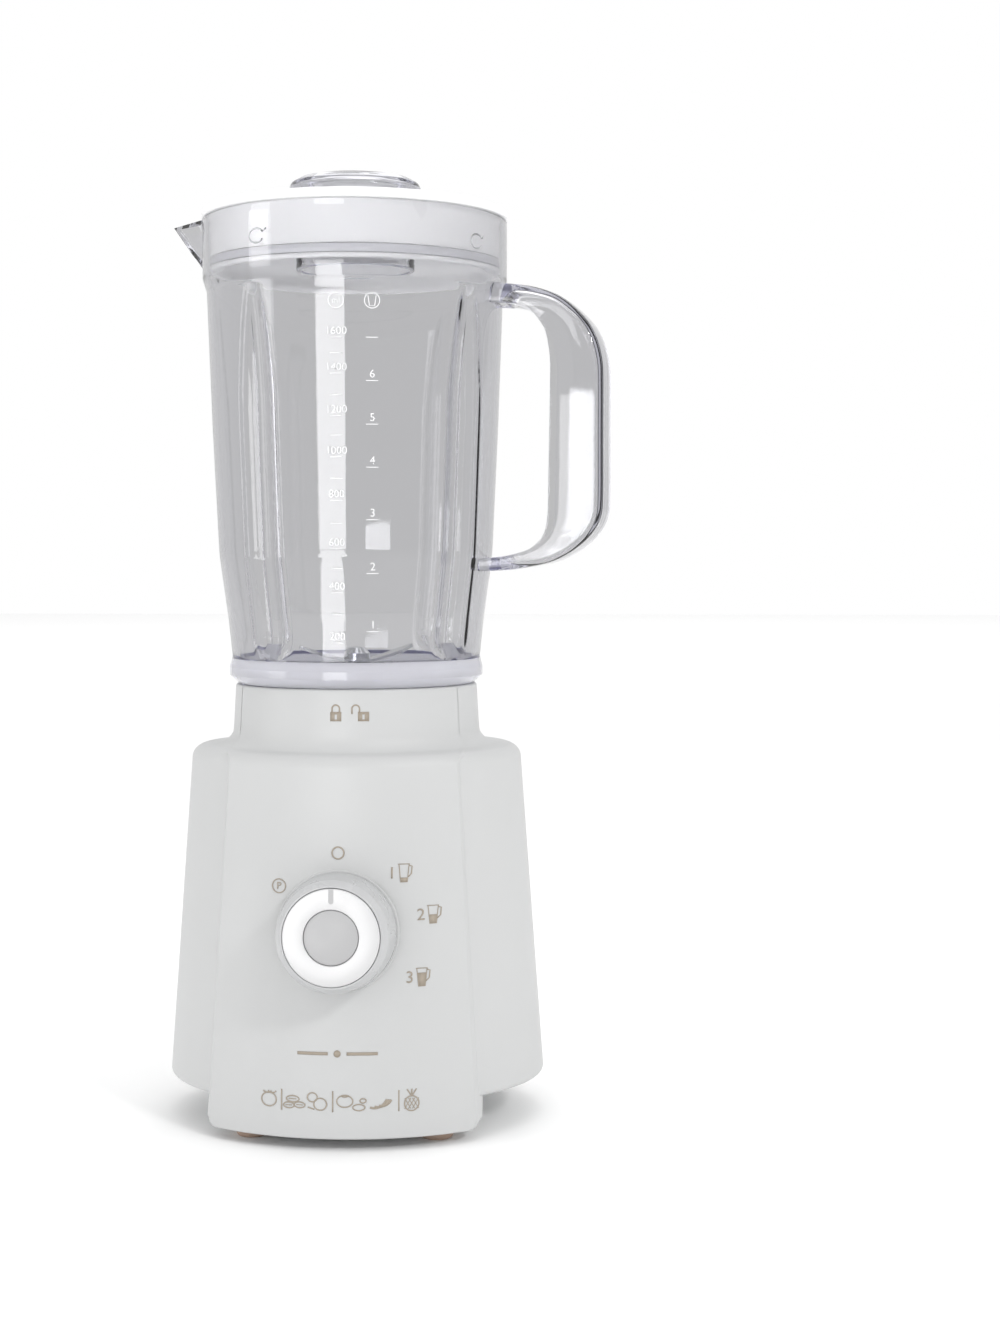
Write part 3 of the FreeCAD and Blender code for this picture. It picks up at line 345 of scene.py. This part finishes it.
def housing():
    """One closed shell: oval wings, proud panels with hanging ends, shoulder, neck and deck."""
    wing_path = housing_path(0, LOW_Z, 5.5)
    edge_low = panel_edge(PANEL_LOW, *half_sizes(PANEL_LOW, PANEL_PROUD))
    shares = [0.0, 0.15, 0.3, 0.45, 0.6, 0.72, 0.8]
    for k in range(9):
        shares.append(1 - PANEL_CORNER / edge_low * (1 - math.sin(math.pi / 2 * k / 8)))
    shares = [-s for s in reversed(shares[1:])] + shares
    panel_paths = []
    for share in shares:
        inset = PANEL_CORNER - edge_low * (1 - abs(share))
        rise = PANEL_CORNER - math.sqrt(max(0, PANEL_CORNER ** 2 - max(0, inset) ** 2))
        panel_paths.append(housing_path(PANEL_PROUD, PANEL_LOW + min(rise, 3.8), 0.8))
    rows = []
    for j, (wa, wb, wz) in enumerate(wing_path):
        row = []
        crease = panel_paths[0][j]
        edge = panel_edge(crease[2], crease[0], crease[1])
        wing_edge = panel_edge(wz, wa, wb)
        depth = crease[1] * math.sqrt(1 - (edge / crease[0]) ** 2)
        root_x = edge + PANEL_ROOT
        root_depth = depth - PANEL_ROOT / BEVEL
        for side in (-1, 1):
            for share, path in zip(shares, panel_paths):
                pa, pb, pz = path[j]
                x = share * panel_edge(pz, pa, pb)
                row.append((-side * x, side * pb * math.sqrt(max(0, 1 - (x / pa) ** 2)), pz))
            row.append((-side * root_x, side * root_depth, crease[2]))
            start = math.acos(min(1, (root_x + 0.05 if root_x < wa else wing_edge) / wa))
            for k in range(WING_STEPS + 1):
                angle = start - 2 * start * k / WING_STEPS
                row.append((-side * wa * math.cos(angle), side * wb * math.sin(angle), wz))
            row.append((-side * root_x, -side * root_depth, crease[2]))
        rows.append(row)
    return dress(grid("housing", rows, sharp=24), "housing_white", "base", "base_housing")


# ---------------------------------------------------------------- clear jug

RIB_LOW, RIB_TOP, RIB_HALF, RIB_DEEP = 204, 364, 11.5, 5
RIB_FADE_LOW, RIB_FADE_TOP = 8, 45
SPOUT_LOW, SPOUT_HALF_ANGLE = 374, 0.5
FOOT_TOP = 203
COARSE_STEP, FINE_STEP = 2.5, 0.75

JUG_OUTLINE = [
    (67.6, 398, 1.2), (67.6, 372, 5), (65.8, 366, 6), (63.6, 305, 120), (61, 250, 80), (57.2, 222, 30),
    (55.5, 205, 3), (56.7, 200.5, 1.6), (56.7, 197, 1), (52.9, 193.3, 0.6), (49.3, 193.3, 0.8),
    (49.3, 177, 0.6), (46.3, 177, 0.6), (46.3, 188.5, 0.6), (44, 191, 1), (11, 191, 0), (11, 194, 0),
    (40, 194, 8), (48, 196.2, 6), (52.2, 203, 9), (54.4, 222, 30), (58.2, 250, 80), (60.8, 305, 120),
    (63, 366, 6), (64.8, 372, 5), (64.8, 398, 0.8),
]


def wall_radius(z):
    """Outside radius of the jug's wall, for placing printed marks."""
    table = (
        (177, 49.3), (205, 55.5), (222, 57.2), (250, 61), (305, 63.6), (366, 65.8), (372, 67.6), (400, 67.6),
    )
    for (z0, r0), (z1, r1) in zip(table, table[1:]):
        if z <= z1:
            return r0 + (r1 - r0) * max(0, z - z0) / (z1 - z0)
    return table[-1][1]


def spout_radius(delta, t, root, width, reach, tip):
    """Radius of the pouring lip's slanting side at an angle from its middle."""
    if t <= 0:
        return 0
    slope = (reach - root) / max(0.5, width - tip)
    side = (root + width * slope) / (math.cos(delta) + slope * math.sin(abs(delta)))
    nose = reach / max(0.2, math.cos(delta))
    return min(side, nose)


def turned_from(theta, middle):
    """An angle measured from a middle one, between half a turn back and half a turn on."""
    return (theta - middle + math.pi) % (2 * math.pi) - math.pi


def jug_radius(radius, z, theta, inside):
    """The wall's radius with the spout pushed out and the four ribs pushed in."""
    delta = turned_from(theta, SPOUT_TURN)
    if z > SPOUT_LOW and abs(delta) < SPOUT_HALF_ANGLE:
        t = (z - SPOUT_LOW) / 24
        if inside:
            t = (z - 377) / 23
            lip = spout_radius(delta, t, 61.6, 3 + 15.5 * t, 65.2 + 17.2 * t, 1 + 2 * t)
        else:
            lip = spout_radius(delta, t, 65.6, 3 + 18 * t, 67.9 + 17.1 * t, 1 + 2 * t)
        radius = max(radius, lip)
    if RIB_LOW < z < RIB_TOP:
        fade = min(1, (z - RIB_LOW) / RIB_FADE_LOW) * min(1, math.sqrt((RIB_TOP - z) / RIB_FADE_TOP))
        for turn in RIB_TURNS:
            delta = turned_from(theta, turn)
            share = abs(radius * delta) / (RIB_HALF * (0.25 + 0.75 * fade))
            if share < 1:
                radius -= RIB_DEEP * fade * (1 - share ** 2) ** 2
    return radius


# far and near edges of the handle's bow at each station, from the rim down
HANDLE_LINES = [
    ((64.4, 369), (63.6, 360)), ((76, 367.6), (72, 359.2)), ((84, 366.2), (77, 358)),
    ((94, 362.6), (82, 355.6)), ((101.4, 357), (86, 351.8)), ((107.4, 350.6), (88.8, 347)),
    ((111.2, 343.4), (90.2, 341)), ((113.4, 335), (91, 334)), ((114, 326), (91, 325)),
    ((114, 300), (90.6, 300)), ((114, 276), (90.2, 276)), ((113.2, 267), (89.9, 267.4)),
    ((110, 260.6), (89, 261.4)), ((105.2, 255.4), (87, 257.4)), ((98.7, 250.8), (83.6, 254)),
    ((90.4, 247), (79.2, 251.8)), ((76, 244.2), (71, 249.8)), ((66, 243.3), (64.8, 249)),
    ((58.5, 243), (58.8, 248.5)),
]


def smooth_line(points, per):
    """A curve through every point."""
    result = []
    for i in range(len(points) - 1):
        p0, p1 = points[max(i - 1, 0)], points[i]
        p2, p3 = points[i + 1], points[min(i + 2, len(points) - 1)]
        for k in range(per):
            t = k / per
            result.append(0.5 * (2 * p1 + (p2 - p0) * t + (2 * p0 - 5 * p1 + 4 * p2 - p3) * t * t
                                 + (3 * p1 - p0 - 3 * p2 + p3) * t ** 3))
    result.append(points[-1])
    return result


def handle_form():
    """A channel-section bow, open towards the jug."""
    outer = smooth_line([Vector(o) for o, _ in HANDLE_LINES], 5)
    inner = smooth_line([Vector(i) for _, i in HANDLE_LINES], 5)
    rows = []
    last = len(outer) - 1
    for i, (far, near) in enumerate(zip(outer, inner)):
        thick = (far - near).length
        open_share = min(1, max(0.05, (near.x - 68) / 3 if near.x < 80 else 1))
        if i == 0 or i == last:
            open_share = 0.05
        groove = max(0.25, (thick - 3) * open_share)
        section = softened([
            (-12.5, 0, 1.2), (-12.5, thick, 4), (12.5, thick, 4), (12.5, 0, 1.2),
            (9.6, 0, 0.8), (9.2, groove, 2), (-9.2, groove, 2), (-9.6, 0, 0.8),
        ], 5)
        along = (far - near).normalized()
        row = []
        for p in section:
            spot = near + along * p.y
            row.append((spot.x * math.cos(HANDLE_TURN) - p.x * math.sin(HANDLE_TURN),
                        spot.x * math.sin(HANDLE_TURN) + p.x * math.cos(HANDLE_TURN), spot.y))
        rows.append(row)
    return grid("handle", rows, wrap_rows=False, caps=True)


def at_handle_root(spot):
    """Whether a point of the handle is where it grows out of the wall."""
    along = spot.x * math.cos(HANDLE_TURN) + spot.y * math.sin(HANDLE_TURN)
    across = -spot.x * math.sin(HANDLE_TURN) + spot.y * math.cos(HANDLE_TURN)
    near_wall = wall_radius(spot.z) + 0.3 < math.hypot(spot.x, spot.y) and along < wall_radius(spot.z) + 4
    return near_wall and abs(across) < 13 and along > 0


def jug():
    """Wall, foot, skirt, spout and ribs in one turned form, joined with the handle."""
    path = split_long(softened(JUG_OUTLINE, 6), 4)
    lowest = min(range(len(path)), key=lambda i: (path[i].y, -path[i].x))
    angles = {round(k * COARSE_STEP, 2) for k in range(round(360 / COARSE_STEP))}
    for turn, width in [(t, 13) for t in RIB_TURNS] + [(SPOUT_TURN, 20)]:
        middle = math.degrees(turn) % 360
        count = int(width / FINE_STEP)
        angles |= {round((middle + k * FINE_STEP) % 360, 2) for k in range(-count, count + 1)}
    rows = []
    for degrees in sorted(angles):
        theta = math.radians(degrees)
        row = []
        for i, p in enumerate(path):
            r = jug_radius(p.x, p.y, theta, i > lowest)
            row.append((r * math.cos(theta), r * math.sin(theta), p.y))
        rows.append(row)
    body = joined_with(grid("jug_clear", rows, sharp=30), handle_form(), 30)
    dress(body, "clear_plastic", "jug", "jug")
    body.data.materials.append(CLEAR_FOOT)
    for face in body.data.polygons:
        face.material_index = int(face.center.z < FOOT_TOP * MM or at_handle_root(face.center / MM))


# ---------------------------------------------------------------- lid, cap, knob, feet

def lid():
    """White rim and skirt with a groove, and the gasket's bead in it."""
    body = lathe("lid_white", [
        (27, 388.6, 0.5), (29.6, 388.6, 0.5), (29.6, 402.6, 2), (52, 401.6, 3), (61.6, 399.8, 2),
        (61.6, 374, 0.5), (64.2, 374, 0.8), (64.2, 376, 0.3), (62.8, 376, 0.3), (62.8, 380, 0.3),
        (64.2, 380, 0.3), (64.2, 398.3, 0.4), (68, 398.3, 0.8), (68, 401.2, 1.2), (66.6, 402.6, 2.4),
        (52, 404.6, 12), (38, 405.6, 12), (29.6, 405.6, 1), (28.6, 405, 0.5), (27, 405, 0.6),
    ], 160)
    dress(body, "lid_white", "lid", "lid")
    bead = lathe("lid_bead", [
        (62.8, 376.2, 0.2), (64.3, 376.2, 0.5), (64.6, 378, 1), (64.3, 379.8, 0.5), (62.8, 379.8, 0.2),
    ], 160)
    dress(bead, "seal_rubber", "lid", "lid_gasket")


CAP_CLEAR_FROM = 384


def cap():
    """Clear cup, upside down, softer where its tube ends under the lid."""
    body = lathe("cap_clear", [
        (26.3, 376.5, 0.6), (26.3, 405.9, 0.8), (30, 405.9, 0.8), (30, 411, 3), (28.5, 414.6, 2.5),
        (25, 416.6, 3), (22, 417, 2), (19, 416.4, 2), (0, 416.4, 0), (0, 414.1, 0), (20, 414.1, 2),
        (24, 412.4, 2), (24, 376.5, 0.6),
    ], 128)
    dress(body, "clear_plastic", "cap", "filler_cap")
    body.data.materials.append(CLEAR_FOOT)
    for face in body.data.polygons:
        face.material_index = int(face.center.z < CAP_CLEAR_FROM * MM)


def knob():
    """Outer body, white ring, grey centre, pointer, and the seat it stands in."""
    place = front_frame()
    outer = lathe("knob_outer", [
        (2.95, 3, 0), (6, 3, 0.3), (6, 14, 0.5), (22.6, 14, 1), (22.6, 1, 0.4), (25.2, 1, 0.9),
        (23.5, 18.0, 2.2), (21.2, 21.3, 1.0), (20.4, 21.3, 0.5), (20.4, 19.3, 0.2), (0, 19.3, 0),
        (0, 13, 0), (2.95, 13, 0),
    ], 128, place=place)
    dress(outer, "knob_white", "knob", "knob_body")
    band = lathe("knob_band", [
        (11.55, 19.3, 0.1), (20.2, 19.3, 0.1), (20.2, 22.0, 0.5), (11.55, 22.0, 0.4),
    ], 128, place=place)
    dress(band, KNOB_BAND, "knob", "knob_ring")
    disc = lathe("knob_centre", [
        (0, 19.3, 0), (11.4, 19.3, 0.1), (11.4, 21.5, 0.5), (6, 21.75, 4), (0, 21.75, 0),
    ], 96, place=place)
    dress(disc, "knob_grey", "knob", "knob_disc")
    bar = bend(0, 14.9, 1.05, 1.05, 180, 360, 10) + [(1.05, 20.0), (-1.05, 20.0)]
    pointer = grid("knob_pointer", [[(x, y, z) for x, y in bar] for z in (21.6, 22.06)],
                   wrap_rows=False, caps=True, place=place)
    dress(pointer, "knob_grey", "knob")
    seat = lathe("knob_seat", [
        (9, -1, 0), (26, -1, 0.1), (26, 0.42, 0.35), (24.6, 0.42, 0.3), (24.2, 0.1, 0.2), (9, 0.1, 0),
    ], 128, place=place)
    dress(seat, "housing_white", "base")


def feet():
    """Four turned feet in one piece of visual."""
    points, faces = [], []
    outline = softened([
        (0, 0, 0), (6.4, 0, 0.9), (7, 1.2, 0.6), (7, 5, 0.2), (2.5, 5, 0.2), (2.5, 9, 0.4), (0, 9, 0),
    ], 4)
    turns = 40
    for x, y in ((40, 48.5), (-40, 48.5), (-40, -48.5), (40, -48.5)):
        first = len(points)
        for k in range(turns):
            a = 2 * math.pi * k / turns
            points += [(x + p.x * math.cos(a), y + p.x * math.sin(a), p.y) for p in outline]
        n = len(outline)
        for k in range(turns):
            for j in range(n):
                c, d = first + k * n, first + (k + 1) % turns * n
                faces.append((c + j, c + (j + 1) % n, d + (j + 1) % n, d + j))
    dress(make("feet", points, faces), "foot_rubber", "base", "rubber_feet")


# ---------------------------------------------------------------- printed marks

def stroke(points, width, closed=False):
    """A line of even width as four-sided pieces."""
    spots = [Vector(p) for p in points]
    count = len(spots)
    left, right = [], []
    for i in range(count):
        before = spots[i - 1] if closed or i else spots[i]
        after = spots[(i + 1) % count] if closed or i < count - 1 else spots[i]
        along = (after - before).normalized()
        across = Vector((-along.y, along.x)) * width / 2
        left.append(spots[i] + across)
        right.append(spots[i] - across)
    return [
        [left[i], right[i], right[(i + 1) % count], left[(i + 1) % count]]
        for i in range(count if closed else count - 1)
    ]


def bend(cx, cy, rx, ry, start=0, end=360, steps=28):
    """Points along an oval arc, angles in degrees."""
    sweep = [math.radians(start + (end - start) * k / steps) for k in range(steps + 1)]
    return [(cx + rx * math.cos(a), cy + ry * math.sin(a)) for a in sweep]


def ring(cx, cy, rx, ry, width):
    return stroke(bend(cx, cy, rx, ry)[:-1], width, True)


def filled(points):
    return [[Vector(p) for p in points]]


def line(x0, y0, x1, y1, width):
    """A straight line in pieces short enough to follow a curved wall."""
    steps = max(1, round(math.hypot(x1 - x0, y1 - y0) / 2))
    points = [(x0 + (x1 - x0) * k / steps, y0 + (y1 - y0) * k / steps) for k in range(steps + 1)]
    return stroke(points, width)


def letters(text, size, cx, cy):
    """A word or number as flat pieces, centred on a point."""
    curve = bpy.data.curves.new("letters", "FONT")
    curve.body = text
    curve.size = size
    curve.align_x = "CENTER"
    curve.align_y = "CENTER"
    obj = bpy.data.objects.new("letters", curve)
    bpy.context.collection.objects.link(obj)
    mesh = obj.to_mesh()
    pieces = [
        [Vector((mesh.vertices[v].co.x + cx, mesh.vertices[v].co.y + cy)) for v in face.vertices]
        for face in mesh.polygons
    ]
    obj.to_mesh_clear()
    bpy.data.objects.remove(obj)
    return pieces


FILM_GAP, FILM_THICKNESS = 0.07, 0.08


def printed(name, pieces, place, mat, body):
    """A thin film on a curved surface; place turns flat (across, up) into a point on it."""
    points, faces = [], []
    for piece in pieces:
        faces.append(tuple(range(len(points), len(points) + len(piece))))
        points += [place(p[0], p[1]) for p in piece]
    obj = make(name, points, faces)
    film = obj.modifiers.new("film", "SOLIDIFY")
    film.thickness = FILM_THICKNESS * MM
    film.offset = 0
    return dress(obj, mat, body)


def on_panel(x, z):
    """A place on the front panel's face."""
    a, b = half_sizes(z, PANEL_PROUD)
    return (x, -b * math.sqrt(1 - (x / a) ** 2) - FILM_GAP, z)


def on_round(radius, middle):
    """Places marks round an upright wall; across is measured along it from the middle angle."""
    def place(across, z):
        r = radius(z) + FILM_GAP
        angle = math.radians(middle) + across / r
        return (r * math.cos(angle), r * math.sin(angle), z)
    return place


def jug_icon(x, z, level):
    """A tall tapering jug with a handle, filled to a level."""
    low, high, foot, mouth = z - 3.8, z + 3.8, 1.35, 2.1
    pieces = stroke([(x - mouth, high), (x - foot, low), (x + foot, low), (x + mouth, high)], 0.35)
    pieces += line(x - mouth - 0.4, high, x + mouth + 0.2, high, 0.35)
    grip = [(x + mouth, high - 0.6), (x + 3.3, high - 1), (x + 3.0, z - 0.4), (x + 1.7, z - 1.6)]
    pieces += stroke(grip, 0.5)
    top = low + 7.6 * level
    half = foot + (mouth - foot) * level
    pieces += filled([(x - half, top), (x - foot, low), (x + foot, low), (x + half, top)])
    return pieces


def padlock(x, z, closed):
    """A padlock with a keyhole, its shackle swung to one side when open."""
    pieces = []
    cheeks = ((-2.4, -0.5, -3.4, 0.6), (0.5, 2.4, -3.4, 0.6))
    over_and_under_keyhole = ((-0.5, 0.5, -3.4, -2.6), (-0.5, 0.5, -0.5, 0.6))
    for x0, x1, z0, z1 in cheeks + over_and_under_keyhole:
        pieces += filled([(x + x0, z + z0), (x + x1, z + z0), (x + x1, z + z1), (x + x0, z + z1)])
    shift = 0 if closed else -3.3
    pieces += stroke(
        [(x + shift - 1.6, z + (0.6 if closed else -0.3))]
        + bend(x + shift, z + 1.9, 1.6, 1.6, 180, 0, 12) + [(x + shift + 1.6, z + 0.6)], 0.65)
    return pieces


def food_row(z):
    """Plain pictures of fruit and nuts with upright bars between the groups."""
    w = 0.5
    pieces = ring(-29.5, z - 0.3, 3.1, 2.9, w) + stroke(bend(-30.2, z + 3.6, 1.8, 1.2, 200, 340, 8), w)
    pieces += stroke(bend(-28.2, z + 3.7, 1.8, 1.2, 200, 340, 8), w)
    for x in (-24.2, -3.4, 22.6):
        pieces += line(x, z - 4.4, x, z + 4.4, w)
    nuts = ((-19.6, z + 0.6, 2.6, 1.3), (-21.2, z - 2.1, 2.2, 1.2), (-16.8, z - 1.8, 2.2, 1.2))
    for x, y, rx, ry in nuts:
        pieces += ring(x, y, rx, ry, w) + line(x - rx * 0.6, y, x + rx * 0.6, y, 0.35)
    pieces += ring(-11.6, z + 1.6, 2.0, 1.9, w) + ring(-8.4, z - 1.2, 2.6, 2.5, w)
    pieces += line(-13.4, z - 2.6, -10.8, z - 3.4, w)
    pieces += ring(1.4, z + 0.2, 3.2, 2.5, w) + stroke(bend(1.4, z + 2.9, 1.6, 0.9, 200, 340, 8), w)
    pieces += ring(7.0, z - 2.4, 2.4, 1.3, w) + ring(8.6, z + 0.4, 1.2, 0.9, w)
    for k in range(3):
        peel = bend(13.2 + k * 1.5, z + 3.4 - k * 0.5, 5.2 - k * 0.7, 6.2 - k * 0.9, 250, 335, 14)
        pieces += stroke(peel, 0.9)
    pieces += ring(27.6, z - 1.4, 2.8, 3.1, w)
    for k in range(-1, 2):
        for lean in (1.2, -1.2):
            pieces += line(27.6 + k * 1.5 - lean, z - 3.6, 27.6 + k * 1.5 + lean, z + 0.8, 0.3)
        pieces += line(27.6, z + 1.6, 27.6 + k * 1.8, z + 4.6, w)
    return pieces


def panel_marks():
    """Off, pulse and the three speeds round the knob, a plain bar and the food row below."""
    pieces = ring(0, 125.1, 2.5, 2.5, 0.6)
    pieces += ring(-25.5, 110.6, 2.9, 2.9, 0.45) + letters("P", 4.2, -25.5, 110.6)
    speeds = (("1", 22.5, 116.3, 0.25), ("2", 34.5, 98.3, 0.5), ("3", 30, 72.2, 0.75))
    for number, x, z, level in speeds:
        pieces += letters(number, 7, x, z) + jug_icon(x + 5, z, level)
    bar_z = 41
    for x0, x1 in ((-17, -4), (4, 17)):
        pieces += line(x0, bar_z, x1, bar_z, 1.3)
    pieces += filled(bend(0, bar_z, 1.5, 1.5, 0, 345, 23))
    printed("panel_marks", pieces, on_panel, TAUPE, "base")
    printed("food_marks", food_row(21), lambda x, z: on_panel(1.06 * x + 1.8, z), TAUPE, "base")


def neck_marks():
    """A closed and an open padlock on the neck's front."""
    def neck_radius(z):
        return NECK_TOP + (NECK_Z - z) / (NECK_Z - TOP_Z) * (NECK_FOOT - NECK_TOP)

    locks = padlock(-6, 183, True) + padlock(5.8, 183, False)
    printed("neck_marks", locks, on_round(neck_radius, -86.2), TAUPE, "base")


def jug_marks():
    """Volume marks and cup marks up the jug's front, and a turning arrow on each side of the rim."""
    volume_levels = (
        213, 225, 234.3, 244.6, 252.8, 263.5, 273.1, 282.3, 291.2, 300.3, 308.3, 317, 325.9, 334.3, 340.8,
    )
    cup_levels = (217.8, 242.4, 265, 286.9, 304.8, 322.9, 340.8)
    scale = []
    for i, z in enumerate(volume_levels):
        if i % 2 == 0:
            scale += letters(str(200 + 100 * i), 4.6, -7.8, z + 2.6)
        scale += line(-10.4, z, -5.4, z, 0.35)
    for i, z in enumerate(cup_levels):
        if i < 6:
            scale += letters(str(i + 1), 4.8, 7.3, z + 2.7)
        scale += line(4.6, z, 9.8, z, 0.35)
    for x in (-7.8, 7.3):
        scale += ring(x, 356, 3.2, 3.2, 0.4)
    scale += letters("ml", 3.6, -7.8, 356)
    scale += stroke([(5.6, 358), (6.2, 353.8), (8.4, 353.8), (9, 358)], 0.4)
    printed("jug_marks", scale, on_round(wall_radius, -83.4), FROST, "jug")
    for name, middle in (("turn_mark_left", -83 - 38), ("turn_mark_right", -83 + 50)):
        arrow = stroke(bend(0, 384, 4, 3, 30, 330, 20), 0.7) + line(3.4, 385.6, 5.4, 386.8, 0.7)
        printed(name, arrow, on_round(wall_radius, middle), LOOKS["clear_plastic"], "jug")


# ---------------------------------------------------------------- scene

WALL_SEEN, WALL_THROUGH_JUG, WALL_LIGHT = 1.0, 0.50, 0.90
# grey of the painted shade on the floor where it shows straight through the clear jug
FLOOR_PAINTED_SHADE_THROUGH_JUG = 0.45


def carried_over():
    """Materials for the CAD nodes that are shown as they are."""
    slots = {part["node"]: part["material_slot"] for part in frame["record"]["subparts"]}
    for name, obj in NODES.items():
        obj.data.materials.clear()
        obj.data.materials.append(LOOKS[slots[name]])


def area(name, place, aim, width, height, power, gloss_only=False):
    """An area lamp out of the camera's sight, seen only in reflections where it is for gloss."""
    lamp = bpy.data.lights.new(name, "AREA")
    lamp.shape = "RECTANGLE"
    lamp.size, lamp.size_y = width, height
    lamp.energy = power
    obj = bpy.data.objects.new(name, lamp)
    bpy.context.collection.objects.link(obj)
    obj.location = place
    obj.rotation_euler = (Vector(aim) - Vector(place)).to_track_quat("-Z", "Y").to_euler()
    obj.visible_camera = False
    obj.visible_diffuse = not gloss_only


def straight_through_jug(tree):
    """One for a view straight through the clear jug, nothing for light that has scattered."""
    nodes, links = tree.nodes, tree.links
    path = nodes.new("ShaderNodeLightPath")
    unscattered = nodes.new("ShaderNodeMapRange")
    unscattered.inputs["To Min"].default_value = 1
    unscattered.inputs["To Max"].default_value = 0
    links.new(path.outputs["Diffuse Depth"], unscattered.inputs["Value"])
    through = nodes.new("ShaderNodeMath")
    through.operation = "MULTIPLY"
    links.new(path.outputs["Is Transmission Ray"], through.inputs[0])
    links.new(unscattered.outputs["Result"], through.inputs[1])
    return through.outputs["Value"]


def floor_with_painted_shade():
    """A white floor with painted shade: its colour turns as dark as the wall where it shows straight through
    the clear jug.
    """
    mat = material("floor_white_painted_shade", (0.98, 0.98, 0.98), 0.8, vary=0.004, bump=0.01)
    nodes, links = mat.node_tree.nodes, mat.node_tree.links
    colour = nodes["Principled BSDF"].inputs["Base Color"]
    # painted shade: the floor's colour is mixed to grey for views straight through the clear jug
    shown = nodes.new("ShaderNodeMix")
    shown.data_type = "RGBA"
    shown.inputs[MIX_B].default_value = (*[FLOOR_PAINTED_SHADE_THROUGH_JUG] * 3, 1)
    links.new(colour.links[0].from_socket, shown.inputs[MIX_A])
    links.new(straight_through_jug(mat.node_tree), shown.inputs["Factor"])
    links.new(shown.outputs[MIX_RESULT], colour)
    return mat


def studio_wall():
    """A white wall all round, darker where it shows straight through the clear jug."""
    world = bpy.data.worlds.new("studio")
    world.use_nodes = True
    nodes, links = world.node_tree.nodes, world.node_tree.links
    path = nodes.new("ShaderNodeLightPath")
    lit = nodes.new("ShaderNodeMix")
    lit.inputs["A"].default_value = WALL_LIGHT
    lit.inputs["B"].default_value = WALL_THROUGH_JUG
    links.new(straight_through_jug(world.node_tree), lit.inputs["Factor"])
    seen = nodes.new("ShaderNodeMix")
    seen.inputs["B"].default_value = WALL_SEEN
    links.new(path.outputs["Is Camera Ray"], seen.inputs["Factor"])
    links.new(lit.outputs["Result"], seen.inputs["A"])
    links.new(seen.outputs["Result"], nodes["Background"].inputs["Strength"])
    nodes["Background"].inputs["Color"].default_value = (1, 1, 1, 1)
    world.cycles.sampling_method = "NONE"
    bpy.context.scene.world = world


def studio():
    """A white floor with painted shade where it shows straight through the jug, the wall and the lamps; the
    windows make the bright strip down the jug.
    """
    bpy.ops.mesh.primitive_plane_add(size=16)
    floor = bpy.context.object
    floor.name = "floor"
    floor.data.materials.append(floor_with_painted_shade())
    studio_wall()
    bpy.context.scene.view_settings.view_transform = "Standard"
    area("key", (1.1, -1.2, 1.15), (0, 0, 0.15), 0.25, 0.25, 9)
    area("top", (0.1, 0.1, 1.7), (0, 0, 0), 1.0, 1.0, 4)
    area("left", (-1.5, -0.6, 0.35), (0, 0, 0.2), 0.5, 0.7, 4)
    area("back", (0, 5, 4), (0, 4.5, 0), 6, 4, 42)
    area("window", (-0.33, -1.5, 0.26), (0, 0, 0.26), 0.6, 0.36, 4.9, gloss_only=True)
    area("window_foot", (-0.28, -1.25, 0.063), (-0.26, -1.16, 1.06), 0.48, 0.4, 4.1, gloss_only=True)
    area("window_toe", (-0.20, -0.84, 0.028), (-0.18, -0.75, 1.02), 0.28, 0.42, 2.5, gloss_only=True)


def camera():
    """A long lens at the jug's middle height, turned a little to the handle's side."""
    distance, height, turn = 0.95, 0.25, math.radians(7)
    data = bpy.data.cameras.new("camera")
    data.lens = 57.5
    data.sensor_width = 36
    obj = bpy.data.objects.new("camera", data)
    bpy.context.collection.objects.link(obj)
    obj.location = (distance * math.sin(turn), -distance * math.cos(turn), height)
    obj.rotation_euler = (math.radians(90 - 2.84), 0, turn - math.radians(3.89))
    bpy.context.scene.camera = obj


housing()
jug()
lid()
cap()
knob()
feet()
panel_marks()
neck_marks()
jug_marks()
carried_over()
studio()
camera()
